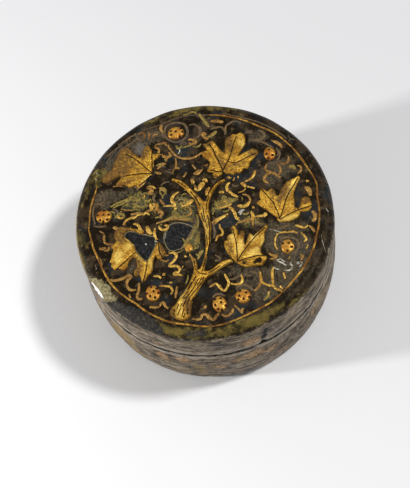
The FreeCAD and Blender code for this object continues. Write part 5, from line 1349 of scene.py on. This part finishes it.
for name, strokes, material, flat in (
    ("bright_tendrils", bright_strokes, bright_gold, 0.5),
    ("tan_tendrils", tan_strokes, tan_gold, 0.42),
    ("olive_tendrils", olive_strokes, olive_gold, 0.40),
    ("faded_tendrils", faded_strokes, faded_gold, 0.35),
    ("chalk_and_glint_marks", chalk_and_glint_strokes, chalk_and_glint, 0.30),
):
    finished(name, brushed_strokes(name, strokes, 1.05, flat), material, "lid")


# ---------------------------------------------------------------- The painted glint on the lid's edge
# A painted highlight: a near-white streak on the left of the shoulder, where the left lamp glints on the
# lacquer. It is a thin film that lies on the lid's panel.
painted_glint_finish, finish, surface = new_finish("painted edge glint", roughness=0.6, specular_ior_level=0.3)
place = finish.place_mm()
glint_mottle = finish.step(finish.cloud(place, 0.7, detail=4.0), 0.58, 0.70)
# Painted highlight: near-white, mottled with pale straw, for the left lamp's glint on the shoulder.
colour = finish.blend(glint_mottle, (0.88, 0.86, 0.80), (0.58, 0.53, 0.39))
finish.tree.links.new(colour, surface.inputs["Base Color"])
glint_strokes = [
    (1.35, [(-42.9, -16.2), (-41.9, -18.1), (-41.0, -20.0), (-40.3, -21.9), (-39.7, -23.4)]),
    (0.9, [(-42.9, -17.9), (-42.1, -19.6), (-41.5, -21.4)]),
]
glint_streak = brushed_strokes("painted_edge_glint", glint_strokes, width=1.0, flat=0.3)
finished("painted_edge_glint", glint_streak, painted_glint_finish, "lid")


# ---------------------------------------------------------------- The board that holds the ink set
# A loose disc of wood that lies on the floor of the base. It is lacquered as the inside is, and pierced for
# the stone, the dropper and the stick.
dress(inner_lacquer, "stone_board")


# ---------------------------------------------------------------- The inkstone
# One block of dark slate that stands loose in its opening of the board. Its well is honed, with a flat to
# grind on and a deep end for the ink, and pale bands of the rock run slantwise through it.

# Soft blot: an oval stain with a ragged edge, for the stone, the dropper and the stick.
soft_blot, inner, given, leave = new_group(
    "soft blot",
    [
        ("Centre", "Vector", (0, 0, 0)),
        ("Size", "Vector", (5, 5, 5)),
        ("Ragged", "Float", 2.0),
        ("Soft", "Float", 0.3),
    ],
    [("Mask", "Float")],
)
here = inner.place_mm()
drift = inner.add("TexNoise", {"Vector": here, "Scale": 0.35, "Detail": 4.0}).outputs["Color"]
drift = inner.add("VectorMath", {0: drift, 1: (0.5, 0.5, 0.5)}, operation="SUBTRACT").outputs[0]
drift = inner.add("VectorMath", {0: drift, "Scale": given["Ragged"]}, operation="SCALE").outputs[0]
moved = inner.add("VectorMath", {0: here, 1: drift}, operation="ADD").outputs[0]
local = inner.add("VectorMath", {0: moved, 1: given["Centre"]}, operation="SUBTRACT").outputs[0]
local = inner.add("VectorMath", {0: local, 1: given["Size"]}, operation="DIVIDE").outputs[0]
reach = inner.add("VectorMath", {0: local}, operation="LENGTH").outputs["Value"]
blot = inner.step(reach, inner.math("ADD", 1.0, given["Soft"]), inner.math("SUBTRACT", 1.0, given["Soft"]))
inner.tree.links.new(blot, leave.inputs[0])

slate, finish, surface = new_finish("honed slate", specular_ior_level=0.35)
place = finish.place_mm()
colour = finish.blend(finish.cloud(place, 8.0), (0.030, 0.033, 0.038), (0.062, 0.064, 0.068))
leaning = finish.add("VectorRotate", {"Vector": place, "Angle": 0.5}, rotation_type="Y_AXIS").outputs[0]
bands = finish.step(finish.cloud(finish.stretch(leaning, 0.12, 0.12, 1.2), 1.6, detail=4.0), 0.48, 0.70)
colour = finish.lay(colour, bands, 0.5, (0.12, 0.12, 0.115))
flecks = finish.step(finish.cloud(place, 0.35, detail=3.0, rough=0.7), 0.66, 0.74)
colour = finish.lay(colour, flecks, 0.6, (0.20, 0.20, 0.19))
ink_stain = use_group(finish, soft_blot, centre=(18, -9, 12), size=(9, 14, 5), ragged=4.0, soft=0.4)[0]
colour = finish.blend(ink_stain, colour, (0.008, 0.008, 0.010))
pores = finish.cloud(place, 0.6, detail=5.0, rough=0.65)
dull = finish.cloud(place, 1.8)
coat(finish, surface, colour, dull, low=0.48, high=0.72, height=pores, depth=0.06)
dress(slate, "inkstone")


# ---------------------------------------------------------------- The water dropper
# Copper sheet folded into a small box, with a base plate soldered in. It stands loose in its opening of the
# board. It has darkened with age, unevenly, and has a little green near the pouring hole.
copper, finish, surface = new_finish("darkened copper", metallic=0.85)
place = finish.place_mm()
colour = finish.blend(finish.cloud(place, 4.0, detail=5.0), (0.36, 0.15, 0.08), (0.16, 0.075, 0.045))
dull = finish.step(finish.cloud(place, 1.4, detail=5.0, rough=0.7), 0.50, 0.66)
colour = finish.blend(dull, colour, (0.09, 0.05, 0.035))
green = use_group(finish, soft_blot, centre=(-12, 23, 17.5), size=(3, 3, 3), ragged=2.0, soft=0.4)[0]
colour = finish.lay(colour, green, 0.6, (0.10, 0.22, 0.16))
dents = finish.cloud(place, 2.2, detail=4.0)
coat(finish, surface, colour, dull, low=0.30, high=0.58, height=dents, depth=0.12)
dress(copper, "dropper_shell", "dropper_base")


# ---------------------------------------------------------------- The ink stick
# Soot and glue pressed in a mould, satin black, with fine shrinkage marks. It lies loose in its opening of
# the board, and one end is dull from grinding.
pressed_ink, finish, surface = new_finish("pressed ink", specular_ior_level=0.5)
place = finish.place_mm()
colour = finish.blend(finish.cloud(place, 3.0, detail=4.0), (0.010, 0.010, 0.012), (0.026, 0.024, 0.026))
ground_end = use_group(finish, soft_blot, centre=(28, 17, 9), size=(3.5, 6, 6), ragged=1.5, soft=0.3)[0]
colour = finish.blend(ground_end, colour, (0.045, 0.043, 0.043))
shrinkage = finish.cloud(finish.stretch(place, 0.2, 1.0, 1.0), 0.8, detail=4.0)
coat(finish, surface, colour, dull=ground_end, low=0.32, high=0.75, height=shrinkage, depth=0.05)
dress(pressed_ink, "ink_stick")


# ---------------------------------------------------------------- The table, the light and the camera
# The box stands on pale paper under two small soft lamps: the stronger one high at the right, and a
# weaker and lower one at the left. The paper is made greyer towards the far right with painted shade,
# for the light that falls off there. The camera looks down from the front.
paper, finish, surface = new_finish("pale paper", roughness=0.85, specular_ior_level=0.2)
place = finish.place_mm()
colour = finish.blend(finish.cloud(place, 60.0), (0.90, 0.90, 0.905), (0.87, 0.87, 0.875))
# Painted shade: the paper's colour darkens towards the far right, where the lamps' light falls off.
falloff_way = (0.5, 0.85, 0)
away = finish.add("VectorMath", {0: place, 1: falloff_way}, operation="DOT_PRODUCT").outputs["Value"]
painted_falloff = finish.add("MapRange", {"Value": away, "From Min": -90.0, "From Max": 116.0}).outputs["Result"]
colour = finish.blend(painted_falloff, colour, (0.755, 0.755, 0.765))
finish.tree.links.new(colour, surface.inputs["Base Color"])
relief(finish, surface, finish.cloud(place, 1.0, detail=4.0), 0.03)
sheet = bmesh.new()
half_width_m, gap_under_box = 2.5, 0.02
bmesh.ops.create_grid(sheet, x_segments=8, y_segments=8, size=half_width_m)
bmesh.ops.translate(sheet, vec=(0, 0, -gap_under_box * MM), verts=sheet.verts)
mesh = bpy.data.meshes.new("table")
sheet.to_mesh(mesh)
sheet.free()
mesh.materials.append(paper)
table = bpy.data.objects.new("table", mesh)
bpy.context.scene.collection.objects.link(table)


def lamp(name, direction, elevation, distance, size, power):
    """A round soft lamp that faces the box. Direction is measured from +X towards +Y."""
    light = bpy.data.lights.new(name, "AREA")
    light.shape = "DISK"
    light.size = size
    light.energy = power
    lamp_object = bpy.data.objects.new(name, light)
    turn, rise = math.radians(direction), math.radians(elevation)
    lamp_object.location = (
        distance * math.cos(rise) * math.cos(turn),
        distance * math.cos(rise) * math.sin(turn),
        distance * math.sin(rise),
    )
    lamp_object.rotation_euler = (-lamp_object.location).to_track_quat("-Z", "Y").to_euler()
    bpy.context.scene.collection.objects.link(lamp_object)


lamp("right lamp", direction=-1, elevation=61, distance=1.40, size=0.168, power=11.2)
lamp("left lamp", direction=182, elevation=28, distance=0.60, size=0.053, power=2.25)

world = bpy.data.worlds.new("studio")
world.use_nodes = True
bpy.context.scene.world = world
sky = world.node_tree.nodes["Background"]
set_socket(sky.inputs["Color"], (0.985, 0.985, 1.0))
set_socket(sky.inputs["Strength"], 0.30)

elevation, roll, yaw, pitch = (math.radians(angle) for angle in (66.541, -11.257, 0.186, 1.169))
distance = 0.468648
back = Vector((0, -math.cos(elevation), math.sin(elevation)))
right = Vector((1, 0, 0))
up = back.cross(right)
stand = back * distance
for axis, angle in (("up", yaw), ("right", pitch), ("back", roll)):
    spin = Matrix.Rotation(angle, 3, {"up": up, "right": right, "back": back}[axis])
    right, up, back = spin @ right, spin @ up, spin @ back
view = bpy.data.cameras.new("camera")
view.sensor_width = 36
view.lens = 90.17
view.clip_start = 0.01
camera = bpy.data.objects.new("camera", view)
camera.matrix_world = Matrix.Translation(stand) @ Matrix((right, up, back)).transposed().to_4x4()
bpy.context.scene.collection.objects.link(camera)
bpy.context.scene.camera = camera
bpy.context.scene.view_settings.view_transform = "Standard"
